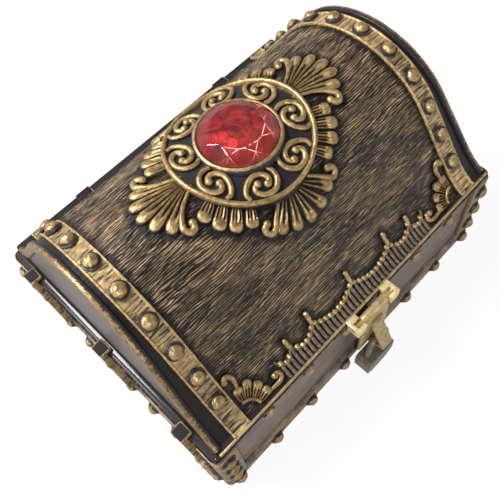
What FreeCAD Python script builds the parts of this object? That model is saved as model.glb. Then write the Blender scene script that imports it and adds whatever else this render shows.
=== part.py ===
import FreeCAD, Part
import math
import os

os.makedirs("parts", exist_ok=True)
Vector = FreeCAD.Vector

# Whole chest in millimetres. The origin is the centre of the underside,
# +X is to the right seen from the front, and the front is -Y.
box_length = 140.4
box_depth = 106.8
base_height = 44.9

# Clearances that all pieces share
seat_gap = 0.05          # between curved pieces glued to one another
turn_gap = 0.05          # on the radius of a pin that turns
clear_gap = 0.4          # between pieces that pass one another
cut_overrun = 6.0        # how far a cut runs past the solid

# Base
base_wall = 3.0
base_floor = 3.0
base_rim_height = 3.0
base_rim_overhang = 1.2
plinth_height = 9.0
plinth_thickness = 1.8
corner_strap_reach = 9.0
corner_strap_thickness = 1.6
end_strap_width = 5.5
end_strap_thickness = 2.3
end_strap_cap = 1.5
end_strap_inset = 14.3
edge_round = 0.4

# Domed nail heads
stud_radius = 2.55
stud_height = 2.5
stud_end_inset = 4.75
upper_studs_each_side = 3
lower_studs_each_side = 4
end_stud_inset = 14.4
end_stud_count = 7
corner_stud_count = 3
upper_stud_inset = 6.3
band_stud_inset = 1.4
band_studs_each_side = 5

# Lid section
crown_radius = 36.2
crown_half_angle_deg = 54.0
flare_radius = 28.0
flare_turn_deg = 22.0
lip_overhang = 2.4
lid_wall = 2.5
lid_gap = 0.3
lid_rim_height = 1.0
lid_rim_width = 6.4
end_ledge = 2.7
end_lean = 3.0
ridge_width = 2.5
ridge_proud = 1.0
ridge_round = 0.7
panel_recess = 0.6
panel_thickness = 2.5
groove_width = 1.5
band_width = 7.0
band_thickness = 1.0

# Medallion on the crest of the lid, flatter than the lid itself
medallion_curve = 52.0
plate_thickness = 0.8
scroll_room = 7.45       # between the bezel and the ring
ring_width = 1.9
ring_height = 1.6
bezel_width = 1.8
bezel_rise = 1.6
gem_radius = 12.5
gem_height = 4.2
gem_girdle = 1.3
gem_table_radius = 8.2
gem_sides = 12
scroll_count = 8
scroll_width = 1.1
scroll_height = 1.2
scroll_gap = 0.3
scroll_sweep_deg = 270.0
ornament_height = 1.8

# Shell and petal ornaments round the medallion
shell_length_x = 16.6    # past the ring
shell_length_y = 11.7
shell_tuck = 4.2         # from the ring's edge in to the middle of the fan
side_shell_angles_deg = (-46.0, -28.0, -13.5, 0.0, 13.5, 28.0, 46.0)
side_shell_shares = (0.9, 0.92, 0.98, 1.0, 0.98, 0.92, 0.9)
front_shell_angles_deg = (-64.0, -45.0, -23.0, 0.0, 23.0, 45.0, 64.0)
front_shell_shares = (1.08, 1.04, 1.0, 1.0, 1.0, 1.04, 1.08)
shell_root_radius = 0.9
shell_tip_radius = 2.3
petal_angles_deg = (24.5, 34.0, 43.5, 53.0)
petal_tuck = 3.7
petal_lengths = (4.5, 5.2, 4.7, 3.3)
petal_tip_radius = 2.0
petal_base_radius = 1.6

# Cresting and fans on the lower front of the lid
crest_end_inset = 17.5
crest_height = 4.2
crest_sag = 1.6
crest_proud = 1.2
finial_shares = (0.0, 0.52, 0.815)
finial_heights = (4.5, 4.5, 3.1)
finial_width = 2.2
fan_hub_inset = 1.7
fan_hub_height = 0.4
fan_angles_deg = (13.0, 35.0, 59.0, 76.0)
fan_reaches = (6.6, 7.6, 7.8, 8.3)
fan_root_radius = 1.0
fan_tip_radius = 1.5
curl_outer_radius = 2.2
curl_width = 1.2
curl_places = ((1.0, 10.6), (13.0, 1.8))
curl_sweep_deg = 250.0

# Rear hinges
hinge_spread = 36.0
hinge_knuckle = 6.0
hinge_ear = 4.5
hinge_barrel_radius = 1.3
hinge_pin_radius = 0.6
hinge_offset = 1.3
hinge_drop = 3.9
hinge_leaf_thickness = 1.0
hinge_leaf_drop = 12.5
hinge_gusset = 2.0
lug_thickness = 0.6
screw_radius = 0.8
screw_head_radius = 1.5
screw_head_height = 0.7
screw_bite = 2.0
screw_spread = 4.6
screw_drop = 9.0

# Hasp on the front of the lid
bracket_span = 20.8
bracket_sheet = 1.2
bracket_flange = 4.2
bracket_depth = 4.8
bracket_height = 4.4
bracket_above_lip = 0.5
bracket_hook = 0.8
hasp_drop_to_pin = 2.2
hasp_pin_radius = 0.9
hasp_barrel_radius = 1.7
hasp_thickness = 1.0
hasp_width = 14.0
hasp_length_share = 0.5034  # of the pin's height above the ground
hasp_neck = 4.2
loop_width = 5.0
loop_sheet = 1.0
loop_top_drop = 7.4
loop_tab = 3.6
loop_out = 5.3
loop_out_rise = 4.6
loop_foot_rise = 2.2
loop_rivet_radius = 0.8
loop_rivet_head = 0.6
keeper_width = 6.0
keeper_height = 6.0
keeper_drop = 14.5

# Padlock
wire_radius = 1.1
shackle_spread = 9.0
shackle_bend = 3.2
shackle_gap = 0.5
shackle_out_share = 0.45
padlock_width = 14.4
padlock_depth = 6.4
padlock_height = 11.0
padlock_hang = 6.9
padlock_top_chamfer = 1.2
padlock_bottom_chamfer = 3.0
short_leg_seat = 3.2
long_leg_floor = 1.6
padlock_rivet_radius = 0.7
padlock_rivet_rise = 2.6

# Places worked out for the base
half_length = box_length / 2
half_depth = box_depth / 2
tub_half_length = half_length - base_rim_overhang
tub_half_depth = half_depth - base_rim_overhang
rim_bottom = base_height - base_rim_height
stud_pitch = (half_length - stud_end_inset) / (lower_studs_each_side - 0.5)
end_stud_pitch = 2 * (half_depth - end_stud_inset) / (end_stud_count - 1)
end_strap_spread = half_depth - end_strap_inset

# Places worked out for the lid's section
crown_angle = math.radians(crown_half_angle_deg)
foot_angle = crown_angle - math.radians(flare_turn_deg)
lid_bottom = base_height + lid_gap
lid_floor = lid_bottom + lid_rim_height
lid_half_depth = half_depth - lip_overhang
lid_half_length = half_length - end_ledge
crown_arc = crown_radius * crown_angle
flare_run = flare_radius * (math.sin(crown_angle) - math.sin(foot_angle))
flare_drop = flare_radius * (math.cos(foot_angle) - math.cos(crown_angle))
skirt_run = lid_half_depth - crown_radius * math.sin(crown_angle) - flare_run
skirt_length = skirt_run / math.cos(crown_angle)
skirt_drop = skirt_length * math.sin(crown_angle)
crown_center = lid_floor + flare_drop + skirt_drop - crown_radius * math.cos(crown_angle)
lid_top = crown_center + crown_radius
lean_slope = end_lean / (lid_top - lid_floor)
band_outer = lid_half_length - end_lean - ridge_width - groove_width
band_inner = band_outer - band_width
bezel_radius = gem_radius + seat_gap + bezel_width
ring_inner_radius = bezel_radius + scroll_room
ring_outer_radius = ring_inner_radius + ring_width
shell_hub_radius = ring_outer_radius - shell_tuck
shell_reach_x = ring_outer_radius + shell_length_x
shell_reach_y = ring_outer_radius + shell_length_y
gem_seat = lid_top + plate_thickness + seat_gap
medallion_axis = lid_top + plate_thickness - medallion_curve
crest_half_length = band_inner - crest_end_inset
fan_hub_x = band_inner - fan_hub_inset

# Places worked out for the hinges, the hasp and the padlock
hinge_y = half_depth + hinge_offset
hinge_z = base_height - hinge_drop
hinge_half_knuckle = hinge_knuckle / 2 + clear_gap
hinge_half_leaf = hinge_half_knuckle + hinge_ear
bracket_back = -half_depth - clear_gap
bracket_front = bracket_back - bracket_depth
bracket_top = lid_floor + bracket_above_lip
bracket_bottom = bracket_top - bracket_height
hasp_y = (bracket_back + bracket_front) / 2
hasp_z = bracket_top - hasp_drop_to_pin
hasp_front = hasp_y - hasp_barrel_radius
hasp_back = hasp_front + hasp_thickness
hasp_foot = hasp_z - hasp_z * hasp_length_share
loop_bend = Vector(0, hasp_front - loop_out, hasp_foot + loop_out_rise)
loop_head = Vector(0, hasp_front, hasp_z - loop_top_drop)
loop_foot = Vector(0, hasp_front, hasp_foot + loop_foot_rise)
loop_foot_slope = math.atan2(loop_bend.z - loop_foot.z, loop_out)
shackle_y = hasp_front - loop_out * shackle_out_share
shackle_rest = loop_foot.z + (loop_bend.z - loop_foot.z) * shackle_out_share
shackle_z = shackle_rest + (wire_radius + shackle_gap) / math.cos(loop_foot_slope)
padlock_top = hasp_foot - padlock_hang
padlock_bottom = padlock_top - padlock_height
keeper_bottom = hasp_z - keeper_drop


def save(name, *solids):
    shape = solids[0] if len(solids) == 1 else Part.makeCompound(list(solids))
    shape.exportStep("parts/" + name + ".step")


def block(x, y, z):
    return Part.makeBox(x[1] - x[0], y[1] - y[0], z[1] - z[0], Vector(x[0], y[0], z[0]))


def rod_x(radius, x, y, z):
    return Part.makeCylinder(radius, x[1] - x[0], Vector(x[0], y, z), Vector(1, 0, 0))


def frame(half_x, half_y, inner_x, inner_y, z):
    outer = block((-half_x, half_x), (-half_y, half_y), z)
    hole = (z[0] - cut_overrun, z[1] + cut_overrun)
    return outer.cut(block((-inner_x, inner_x), (-inner_y, inner_y), hole))


def mirror_x(shape):
    return shape.mirror(Vector(0, 0, 0), Vector(1, 0, 0))


def mirror_y(shape):
    return shape.mirror(Vector(0, 0, 0), Vector(0, 1, 0))


def joined(shapes):
    return shapes[0].multiFuse(shapes[1:]).removeSplitter()


def prism(points, sweep):
    return Part.Face(Part.makePolygon(points + points[:1])).extrude(sweep)


def stud(seat, normal):
    ball = (stud_radius ** 2 + stud_height ** 2) / (2 * stud_height)
    sink = ball - stud_height
    lowest = math.degrees(math.asin(sink / ball))
    return Part.makeSphere(ball, seat - normal * sink, normal, lowest, 90, 360)


# A flat drop shape round two points, its ends round
def lobe(root, root_radius, tip, tip_radius, normal):
    along = tip - root
    length = along.Length
    along.normalize()
    across = normal.cross(along)
    turn = math.acos((root_radius - tip_radius) / length)

    def edge_point(center, radius, side):
        return center + along * (radius * math.cos(turn)) + across * (side * radius * math.sin(turn))

    root_left = edge_point(root, root_radius, 1)
    root_right = edge_point(root, root_radius, -1)
    tip_left = edge_point(tip, tip_radius, 1)
    tip_right = edge_point(tip, tip_radius, -1)
    outline = [
        Part.LineSegment(root_left, tip_left).toShape(),
        Part.Arc(tip_left, tip + along * tip_radius, tip_right).toShape(),
        Part.LineSegment(tip_right, root_right).toShape(),
        Part.Arc(root_right, root - along * root_radius, root_left).toShape(),
    ]
    return Part.Face(Part.Wire(outline))


# A flat strip bent to part of a circle, standing up along the given direction
def hook(center, outer_radius, width, up, height, start_deg, sweep_deg):
    full = Part.makeCylinder(outer_radius, height, center, up, sweep_deg)
    bore = Part.makeCylinder(outer_radius - width, height, center, up)
    strip = full.cut(bore)
    strip.rotate(center, up, start_deg)
    return strip


# Half of the lid's curve, as crown end, skirt end, middle of the flare and foot
def curve_corners(offset):
    normal = Vector(0, math.sin(crown_angle), math.cos(crown_angle))
    slope = Vector(0, math.cos(crown_angle), -math.sin(crown_angle))
    crown_end = Vector(0, 0, crown_center) + normal * (crown_radius + offset)
    skirt_end = crown_end + slope * skirt_length
    flare_center = skirt_end + normal * (flare_radius - offset)

    def on_flare(angle):
        spoke = Vector(0, math.sin(angle), math.cos(angle))
        return flare_center - spoke * (flare_radius - offset)

    middle = on_flare((crown_angle + foot_angle) / 2)
    return crown_end, skirt_end, middle, on_flare(foot_angle)


# All that lies under the lid's curve moved out by offset, down to the lid's floor
def vault(offset, x_low, x_high):
    right = curve_corners(offset)
    left = [Vector(0, -point.y, point.z) for point in right]
    crest = Vector(0, 0, lid_top + offset)
    below = lid_floor - lid_wall - cut_overrun
    right_base = Vector(0, right[3].y, below)
    left_base = Vector(0, left[3].y, below)
    outline = [
        Part.Arc(left[0], crest, right[0]).toShape(),
        Part.LineSegment(right[0], right[1]).toShape(),
        Part.Arc(right[1], right[2], right[3]).toShape(),
        Part.LineSegment(right[3], right_base).toShape(),
        Part.LineSegment(right_base, left_base).toShape(),
        Part.LineSegment(left_base, left[3]).toShape(),
        Part.Arc(left[3], left[2], left[1]).toShape(),
        Part.LineSegment(left[1], left[0]).toShape(),
    ]
    section = Part.Face(Part.Wire(outline))
    section.translate(Vector(x_low, 0, 0))
    under = block(
        (x_low - cut_overrun, x_high + cut_overrun),
        (-box_depth, box_depth),
        (below - cut_overrun, lid_floor),
    )
    return section.extrude(Vector(x_high - x_low, 0, 0)).cut(under)


def layer(low, high, x_low, x_high):
    return vault(high, x_low, x_high).cut(vault(low, x_low - cut_overrun, x_high + cut_overrun))


# Point of the lid's surface at an arc length from the crest, and the normal there
def lid_point(run, offset):
    side = math.copysign(1, run)
    on_crown = min(abs(run), crown_arc)
    angle = on_crown / crown_radius
    along = abs(run) - on_crown
    normal = Vector(0, side * math.sin(angle), math.cos(angle))
    slope = Vector(0, side * math.cos(angle), -math.sin(angle))
    point = Vector(0, 0, crown_center) + normal * (crown_radius + offset) + slope * along
    return point, normal


# The leaning right-hand end of the lid, between two insets from its outer face
def end_slab(low_inset, high_inset):
    def face_point(inset, z):
        return Vector(lid_half_length - inset - lean_slope * (z - lid_floor), -box_depth, z)

    low = lid_floor - cut_overrun
    high = lid_top + cut_overrun
    corners = [
        face_point(low_inset, low),
        face_point(low_inset, high),
        face_point(high_inset, high),
        face_point(high_inset, low),
    ]
    return prism(corners, Vector(0, 2 * box_depth, 0))


# Place seen from above of a point given on the medallion's unrolled face
def medallion_place(radius, angle_deg):
    angle = math.radians(angle_deg)
    across = medallion_curve * math.sin(radius * math.sin(angle) / medallion_curve)
    return Vector(radius * math.cos(angle), across, crown_center)


def over_medallion(radius):
    spread = medallion_place(radius, 90).y
    oval = Part.Ellipse(Vector(0, 0, lid_top - ring_outer_radius), radius, spread)
    height = ring_outer_radius + gem_height + cut_overrun
    return Part.Face(Part.Wire(oval.toShape())).extrude(Vector(0, 0, height))


# All that lies under the medallion's face, moved out by the rise
def medallion_cap(rise):
    reach = ring_outer_radius + cut_overrun
    return rod_x(medallion_curve + rise, (-reach, reach), 0, medallion_axis)


def ornament_layer():
    reach = shell_reach_x + cut_overrun
    return layer(seat_gap, ornament_height, -reach, reach)


# Place on the crest, seen from above, of a point given on the unrolled lid
def crest_place(radius, angle_deg):
    angle = math.radians(angle_deg)
    across = lid_point(radius * math.sin(angle), 0)[0].y
    return Vector(radius * math.cos(angle), across, crown_center)


def make_base():
    tub = block((-tub_half_length, tub_half_length), (-tub_half_depth, tub_half_depth), (0, rim_bottom))
    cavity_x = tub_half_length - base_wall
    cavity_y = tub_half_depth - base_wall
    cavity = block((-cavity_x, cavity_x), (-cavity_y, cavity_y), (base_floor, rim_bottom + cut_overrun))
    rim = frame(half_length, half_depth, cavity_x, cavity_y, (rim_bottom, base_height))
    plinth = frame(
        tub_half_length + plinth_thickness,
        tub_half_depth + plinth_thickness,
        tub_half_length,
        tub_half_depth,
        (0, plinth_height),
    )
    save("base_tub", tub.cut(cavity).cut(joined(hinge_screw_holes())))
    save("base_rim", rim)
    save("base_plinth", plinth)


def make_corner_straps():
    outer_x = tub_half_length + corner_strap_thickness
    outer_y = tub_half_depth + corner_strap_thickness
    height = (plinth_height, rim_bottom)
    angle = block((outer_x - corner_strap_reach, outer_x), (outer_y - corner_strap_reach, outer_y), height)
    notch_height = (plinth_height - cut_overrun, rim_bottom + cut_overrun)
    notch = block(
        (outer_x - corner_strap_reach - cut_overrun, tub_half_length),
        (outer_y - corner_strap_reach - cut_overrun, tub_half_depth),
        notch_height,
    )
    back_right = angle.cut(notch)
    save("corner_strap_back_right", back_right)
    save("corner_strap_back_left", mirror_x(back_right))
    save("corner_strap_front_right", mirror_y(back_right))
    save("corner_strap_front_left", mirror_x(mirror_y(back_right)))


def end_strap():
    outer = half_length + end_strap_thickness
    width = (-end_strap_width / 2, end_strap_width / 2)
    top = base_height + end_strap_cap
    face = block((half_length, outer), width, (plinth_height, top))
    cap = block((lid_half_length + clear_gap, outer), width, (base_height, top))
    backing = block((tub_half_length, half_length), width, (plinth_height, rim_bottom))
    strap = joined([face, cap, backing])
    rounded = [edge for edge in strap.Edges if edge.BoundBox.XMin > outer - seat_gap]
    return strap.makeFillet(edge_round, rounded)


def make_end_straps():
    places = {"front": -end_strap_spread, "middle": 0, "back": end_strap_spread}
    for place, y in places.items():
        strap = end_strap()
        strap.translate(Vector(0, y, 0))
        save("end_strap_right_" + place, strap)
        save("end_strap_left_" + place, mirror_x(strap))


def clear_of_hinges(head):
    far = abs(head.BoundBox.Center.x)
    above_plinth = head.BoundBox.Center.z > plinth_height
    beside_leaf = abs(far - hinge_spread) > hinge_half_leaf + stud_radius
    return beside_leaf or not above_plinth


def make_base_studs():
    outward = Vector(0, -1, 0)
    front = []
    for step in range(upper_studs_each_side):
        x = stud_pitch * (step + 0.5)
        for side in (-x, x):
            front.append(stud(Vector(side, -tub_half_depth, base_height - upper_stud_inset), outward))
    for step in range(lower_studs_each_side):
        x = stud_pitch * (step + 0.5)
        for side in (-x, x):
            front.append(stud(Vector(side, -tub_half_depth - plinth_thickness, plinth_height / 2), outward))
    save("front_studs", *front)
    save("back_studs", *[mirror_y(head) for head in front if clear_of_hinges(head)])
    right = []
    for step in range(end_stud_count):
        y = end_stud_pitch * (step - (end_stud_count - 1) / 2)
        seat = Vector(tub_half_length + plinth_thickness, y, plinth_height / 2)
        right.append(stud(seat, Vector(1, 0, 0)))
    save("end_studs", *right, *[mirror_x(head) for head in right])
    corner = []
    rise = (rim_bottom - plinth_height) / corner_stud_count
    inset = corner_strap_thickness - corner_strap_reach / 2
    for step in range(corner_stud_count):
        z = plinth_height + rise * (step + 0.5)
        front_seat = Vector(tub_half_length + inset, -tub_half_depth - corner_strap_thickness, z)
        end_seat = Vector(tub_half_length + corner_strap_thickness, -tub_half_depth - inset, z)
        corner.append(stud(front_seat, outward))
        corner.append(stud(end_seat, Vector(1, 0, 0)))
    corner = corner + [mirror_y(head) for head in corner]
    save("corner_studs", *corner, *[mirror_x(head) for head in corner])


def make_lid_shell():
    rim = frame(
        lid_half_length,
        half_depth,
        lid_half_length - lid_rim_width,
        half_depth - lid_rim_width,
        (lid_bottom, lid_floor),
    )
    save("lid_rim", rim.cut(lug_pockets()))
    whole = layer(-lid_wall, 0, -lid_half_length, lid_half_length)
    right_end = end_slab(-cut_overrun, ridge_width)
    save("lid_shell", whole.cut(right_end).cut(mirror_x(right_end)))


def make_lid_ends():
    arch = layer(-lid_wall, ridge_proud, 0, lid_half_length + cut_overrun)
    ridge = arch.common(end_slab(0, ridge_width))
    under_skin = vault(ridge_proud - seat_gap, 0, lid_half_length + cut_overrun)
    crest_edges = []
    for edge in ridge.Edges:
        outside = not any(under_skin.isInside(vertex.Point, seat_gap / 2, True) for vertex in edge.Vertexes)
        if outside and edge.Length > ridge_width + seat_gap:
            crest_edges.append(edge)
    ridge = ridge.makeFillet(ridge_round, crest_edges)
    panel_block = vault(-lid_wall - seat_gap, 0, lid_half_length + cut_overrun)
    panel = panel_block.common(end_slab(panel_recess, panel_recess + panel_thickness))
    save("lid_end_ridge_right", ridge)
    save("lid_end_ridge_left", mirror_x(ridge))
    save("lid_end_panel_right", panel)
    save("lid_end_panel_left", mirror_x(panel))


def make_bands():
    band = layer(seat_gap, band_thickness, band_inner, band_outer)
    middle = (band_inner + band_outer) / 2
    pitch = (crown_arc + skirt_length - band_stud_inset) / band_studs_each_side
    heads = []
    for step in range(-band_studs_each_side, band_studs_each_side + 1):
        seat, normal = lid_point(step * pitch, band_thickness + seat_gap)
        heads.append(stud(seat + Vector(middle, 0, 0), normal))
    save("lid_band_right", band)
    save("lid_band_left", mirror_x(band))
    save("band_studs_right", *heads)
    save("band_studs_left", *[mirror_x(head) for head in heads])


def make_medallion():
    reach = ring_outer_radius + cut_overrun
    plate = over_medallion(ring_outer_radius).common(medallion_cap(0))
    annulus = over_medallion(ring_outer_radius).cut(over_medallion(ring_inner_radius))
    skin = medallion_cap(seat_gap + ring_height).cut(medallion_cap(seat_gap))
    save("medallion_plate", plate.cut(vault(seat_gap, -reach, reach)))
    save("medallion_ring", annulus.common(skin))
    make_gem()
    make_scrolls()


def make_gem():
    foot = Vector(0, 0, lid_top - bezel_radius)
    wall_height = gem_seat + bezel_rise - foot.z
    wall = Part.makeCylinder(bezel_radius, wall_height, foot)
    wall = wall.cut(Part.makeCylinder(gem_radius + seat_gap, wall_height, foot))
    save("gem_bezel", wall.cut(medallion_cap(seat_gap)))

    def polygon(flat_radius, z):
        corner = flat_radius / math.cos(math.pi / gem_sides)
        turns = [2 * math.pi * step / gem_sides for step in range(gem_sides + 1)]
        return Part.makePolygon([Vector(corner * math.cos(t), corner * math.sin(t), z) for t in turns])

    girdle_top = gem_seat + gem_girdle
    table = gem_seat + gem_height
    crown = Part.makeLoft([polygon(gem_radius, girdle_top), polygon(gem_table_radius, table)], True, True)
    round_blank = Part.makeCylinder(gem_radius, gem_height, Vector(0, 0, gem_seat))
    girdle = Part.makeCylinder(gem_radius, gem_girdle, Vector(0, 0, gem_seat))
    save("gemstone", joined([girdle, crown.common(round_blank)]))


def make_scrolls():
    up = Vector(0, 0, 1)
    axis = Vector(0, 0, crown_center)
    height = crown_radius + cut_overrun
    skin = medallion_cap(seat_gap + scroll_height).cut(medallion_cap(seat_gap))
    scrolls = []
    for step in range(scroll_count):
        spoke = medallion_place(ring_inner_radius, 360 / scroll_count * (step + 0.5)) - axis
        ring_distance = spoke.Length
        spoke.normalize()
        reach = (ring_distance - bezel_radius) / 2 - scroll_gap
        radius = (reach + scroll_width / 2) / 2
        middle = axis + spoke * ((ring_distance + bezel_radius) / 2)
        center = middle + spoke * (radius - scroll_width / 2)
        start_deg = math.degrees(math.atan2(spoke.y, spoke.x)) + 180
        outer = hook(center, radius, scroll_width, up, height, start_deg, scroll_sweep_deg)
        inner = outer.copy()
        inner.rotate(middle, up, 180)
        scrolls.append(joined([outer, inner]).common(skin))
    save("scroll_ornaments", *[solid for scroll in scrolls for solid in scroll.Solids])


def standing_lobe(root, root_radius, tip, tip_radius):
    up = Vector(0, 0, 1)
    return lobe(root, root_radius, tip, tip_radius, up).extrude(up * (crown_radius + cut_overrun))


# The four shells as upright blocks, each lobe wider by the margin on all sides
def shell_blanks(margin):
    side = (shell_reach_x, side_shell_angles_deg, side_shell_shares)
    front = (shell_reach_y, front_shell_angles_deg, front_shell_shares)
    blanks = []
    for turn_deg, (reach, angles_deg, shares) in {0: side, 90: front, 180: side, 270: front}.items():
        turn = math.radians(turn_deg)
        hub = crest_place(shell_hub_radius, turn_deg)
        lobes = []
        for lean_deg, share in zip(angles_deg, shares):
            length = (reach - shell_hub_radius - shell_tip_radius) * share
            heading = turn + math.radians(lean_deg)
            run = shell_hub_radius * math.sin(turn) + length * math.sin(heading)
            out = shell_hub_radius * math.cos(turn) + length * math.cos(heading)
            tip = Vector(out, lid_point(run, 0)[0].y, crown_center)
            lobes.append(standing_lobe(hub, shell_root_radius + margin, tip, shell_tip_radius + margin))
        blanks.append(joined(lobes))
    return blanks


def make_shells():
    skin = ornament_layer()
    ring = over_medallion(ring_outer_radius + seat_gap)
    shells = [blank.common(skin).cut(ring) for blank in shell_blanks(0)]
    save("shell_ornaments", *[solid for shell in shells for solid in shell.Solids])
    shell_room = shell_blanks(seat_gap)
    lobes = []
    for angle_deg, length in zip(petal_angles_deg, petal_lengths):
        root = crest_place(ring_outer_radius - petal_tuck, angle_deg)
        tip = crest_place(ring_outer_radius + length, angle_deg)
        lobes.append(standing_lobe(root, petal_base_radius, tip, petal_tip_radius))
    petals = joined(lobes).common(skin).cut([ring] + shell_room).Solids
    petals = petals + [mirror_x(petal) for petal in petals]
    save("petal_ornaments", *petals, *[mirror_y(petal) for petal in petals])


def front_skin(thickness):
    skin = layer(seat_gap, thickness, -lid_half_length, lid_half_length)
    return skin.common(block((-box_length, box_length), (-box_depth, 0), (0, lid_top)))


def make_cresting():
    depth = Vector(0, -box_depth, 0)
    top = lid_floor + crest_height
    shares = sorted({-1, 1} | set(finial_shares) | {-share for share in finial_shares})
    corners = [Vector(crest_half_length * share, 0, top) for share in shares]
    first = Vector(-crest_half_length, 0, lid_floor)
    last = Vector(crest_half_length, 0, lid_floor)
    outline = [Part.LineSegment(first, corners[0]).toShape()]
    for left, right in zip(corners, corners[1:]):
        dip = (left + right) / 2 - Vector(0, 0, crest_sag)
        outline.append(Part.Arc(left, dip, right).toShape())
    outline.append(Part.LineSegment(corners[-1], last).toShape())
    outline.append(Part.LineSegment(last, first).toShape())
    shapes = [Part.Face(Part.Wire(outline)).extrude(depth)]
    rises = dict(zip(finial_shares, finial_heights))
    for share, corner in zip(shares[1:-1], corners[1:-1]):
        side = Vector(finial_width / 2, 0, 0)
        rise = Vector(0, 0, rises[abs(share)])
        sink = Vector(0, 0, crest_sag)
        shapes.append(prism([corner - sink, corner + side, corner + rise, corner - side], depth))
    save("front_cresting", joined(shapes).common(front_skin(crest_proud)))


def make_fans():
    depth = Vector(0, -box_depth, 0)
    toward_front = Vector(0, -1, 0)
    hub = Vector(-fan_hub_x, 0, lid_floor + fan_hub_height)
    lobes = []
    for angle_deg, reach in zip(fan_angles_deg, fan_reaches):
        heading = math.radians(angle_deg)
        tip = hub + Vector(math.sin(heading) * reach, 0, math.cos(heading) * reach)
        lobes.append(lobe(hub, fan_root_radius, tip, fan_tip_radius, toward_front).extrude(depth))
    for out, up in curl_places:
        center = hub + Vector(out, 0, up)
        curl = hook(center, curl_outer_radius, curl_width, toward_front, box_depth, 0, curl_sweep_deg)
        lobes.append(curl)
    fan = joined(lobes).common(front_skin(ornament_height))
    save("corner_fan_left", *fan.Solids)
    save("corner_fan_right", *[mirror_x(solid) for solid in fan.Solids])


def hinge_middles():
    return (-hinge_spread, hinge_spread)


# Where the heads of the leaf screws sit, on the leaf's outer face
def screw_seats():
    seat_y = tub_half_depth + hinge_leaf_thickness
    places = []
    for middle in hinge_middles():
        for side in (-screw_spread, screw_spread):
            places.append(Vector(middle + side, seat_y, base_height - screw_drop))
    return places


def hinge_screw_holes():
    deep = hinge_leaf_thickness + screw_bite
    radius = screw_radius + seat_gap
    return [Part.makeCylinder(radius, deep, seat, Vector(0, -1, 0)) for seat in screw_seats()]


def screw(seat, normal, length):
    head = Part.makeCylinder(screw_head_radius, screw_head_height, seat, normal)
    shank = Part.makeCylinder(screw_radius, length, seat, normal * -1)
    return joined([head, shank])


# A leaf on the back wall, under the rim, with an ear at each end for the pin
def base_leaf(middle):
    width = (middle - hinge_half_leaf, middle + hinge_half_leaf)
    outer = tub_half_depth + hinge_leaf_thickness
    bottom = base_height - hinge_leaf_drop
    shapes = [block(width, (tub_half_depth, outer), (bottom, rim_bottom - seat_gap))]
    knuckle_room = (middle - hinge_half_knuckle, middle + hinge_half_knuckle)
    barrel_bottom = hinge_z - hinge_barrel_radius
    for ear in ((width[0], knuckle_room[0]), (knuckle_room[1], width[1])):
        shapes.append(rod_x(hinge_barrel_radius, ear, hinge_y, hinge_z))
        corners = [
            Vector(ear[0], tub_half_depth, hinge_z),
            Vector(ear[0], hinge_y, hinge_z),
            Vector(ear[0], hinge_y, barrel_bottom),
            Vector(ear[0], outer, barrel_bottom - hinge_gusset),
            Vector(ear[0], tub_half_depth, barrel_bottom - hinge_gusset),
        ]
        shapes.append(prism(corners, Vector(ear[1] - ear[0], 0, 0)))
    leaf = joined(shapes)
    leaf = leaf.cut(rod_x(hinge_barrel_radius + clear_gap, knuckle_room, hinge_y, hinge_z))
    leaf = leaf.cut(rod_x(hinge_pin_radius + turn_gap, width, hinge_y, hinge_z))
    return leaf.cut(joined(hinge_screw_holes()))


# A strap let into the lip of the lid, over its edge and down to the pin
def lid_lug(middle):
    width = (middle - hinge_knuckle / 2, middle + hinge_knuckle / 2)
    inner = half_depth + clear_gap
    outer = inner + lug_thickness
    corners = [
        Vector(width[0], inner, hinge_z),
        Vector(width[0], hinge_y, hinge_z),
        Vector(width[0], hinge_y, hinge_z + hinge_barrel_radius),
        Vector(width[0], outer, lid_floor),
        Vector(width[0], inner, lid_floor),
    ]
    foot = block(width, (lid_half_depth, outer), (lid_floor - lug_thickness, lid_floor))
    barrel = rod_x(hinge_barrel_radius, width, hinge_y, hinge_z)
    lug = joined([foot, prism(corners, Vector(hinge_knuckle, 0, 0)), barrel])
    return lug.cut(rod_x(hinge_pin_radius + turn_gap, width, hinge_y, hinge_z))


# Pockets in the lip that the straps lie in
def lug_pockets():
    half = hinge_knuckle / 2 + seat_gap
    depth = (lid_half_depth - seat_gap, half_depth + cut_overrun)
    height = (lid_floor - lug_thickness - seat_gap, lid_floor + cut_overrun)
    return [block((middle - half, middle + half), depth, height) for middle in hinge_middles()]


def make_hinges():
    for name, middle in zip(("left", "right"), hinge_middles()):
        save("base_hinge_leaf_" + name, base_leaf(middle))
        save("lid_hinge_lug_" + name, lid_lug(middle))
        pin_span = (middle - hinge_half_leaf, middle + hinge_half_leaf)
        save("hinge_pin_" + name, rod_x(hinge_pin_radius, pin_span, hinge_y, hinge_z))
    deep = hinge_leaf_thickness + screw_bite
    save("base_hinge_screws", *[screw(seat, Vector(0, 1, 0), deep) for seat in screw_seats()])


def make_brackets():
    outer = bracket_span / 2
    x = (outer - bracket_flange, outer)
    z = (bracket_bottom, bracket_top)
    channel = block(x, (bracket_front, bracket_back), z)
    inside = (bracket_front + bracket_sheet, bracket_back - bracket_sheet)
    through = (z[0] - cut_overrun, z[1] + cut_overrun)
    hollow = block((x[0] - cut_overrun, outer - bracket_sheet), inside, through)
    foot = block(x, (bracket_back, -half_depth), (lid_bottom, bracket_top))
    over_lip = block(x, (-half_depth, -half_depth + bracket_hook), (lid_floor, bracket_top))
    bracket = joined([channel.cut(hollow), foot, over_lip])
    bracket = bracket.cut(rod_x(hasp_pin_radius + seat_gap, (0, box_length), hasp_y, hasp_z))
    save("hasp_bracket_right", bracket)
    save("hasp_bracket_left", mirror_x(bracket))
    save("hasp_pin", rod_x(hasp_pin_radius, (-outer, outer), hasp_y, hasp_z))


def hasp_rivet_seat():
    return Vector(0, hasp_front - loop_sheet, loop_head.z + loop_tab / 2)


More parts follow.
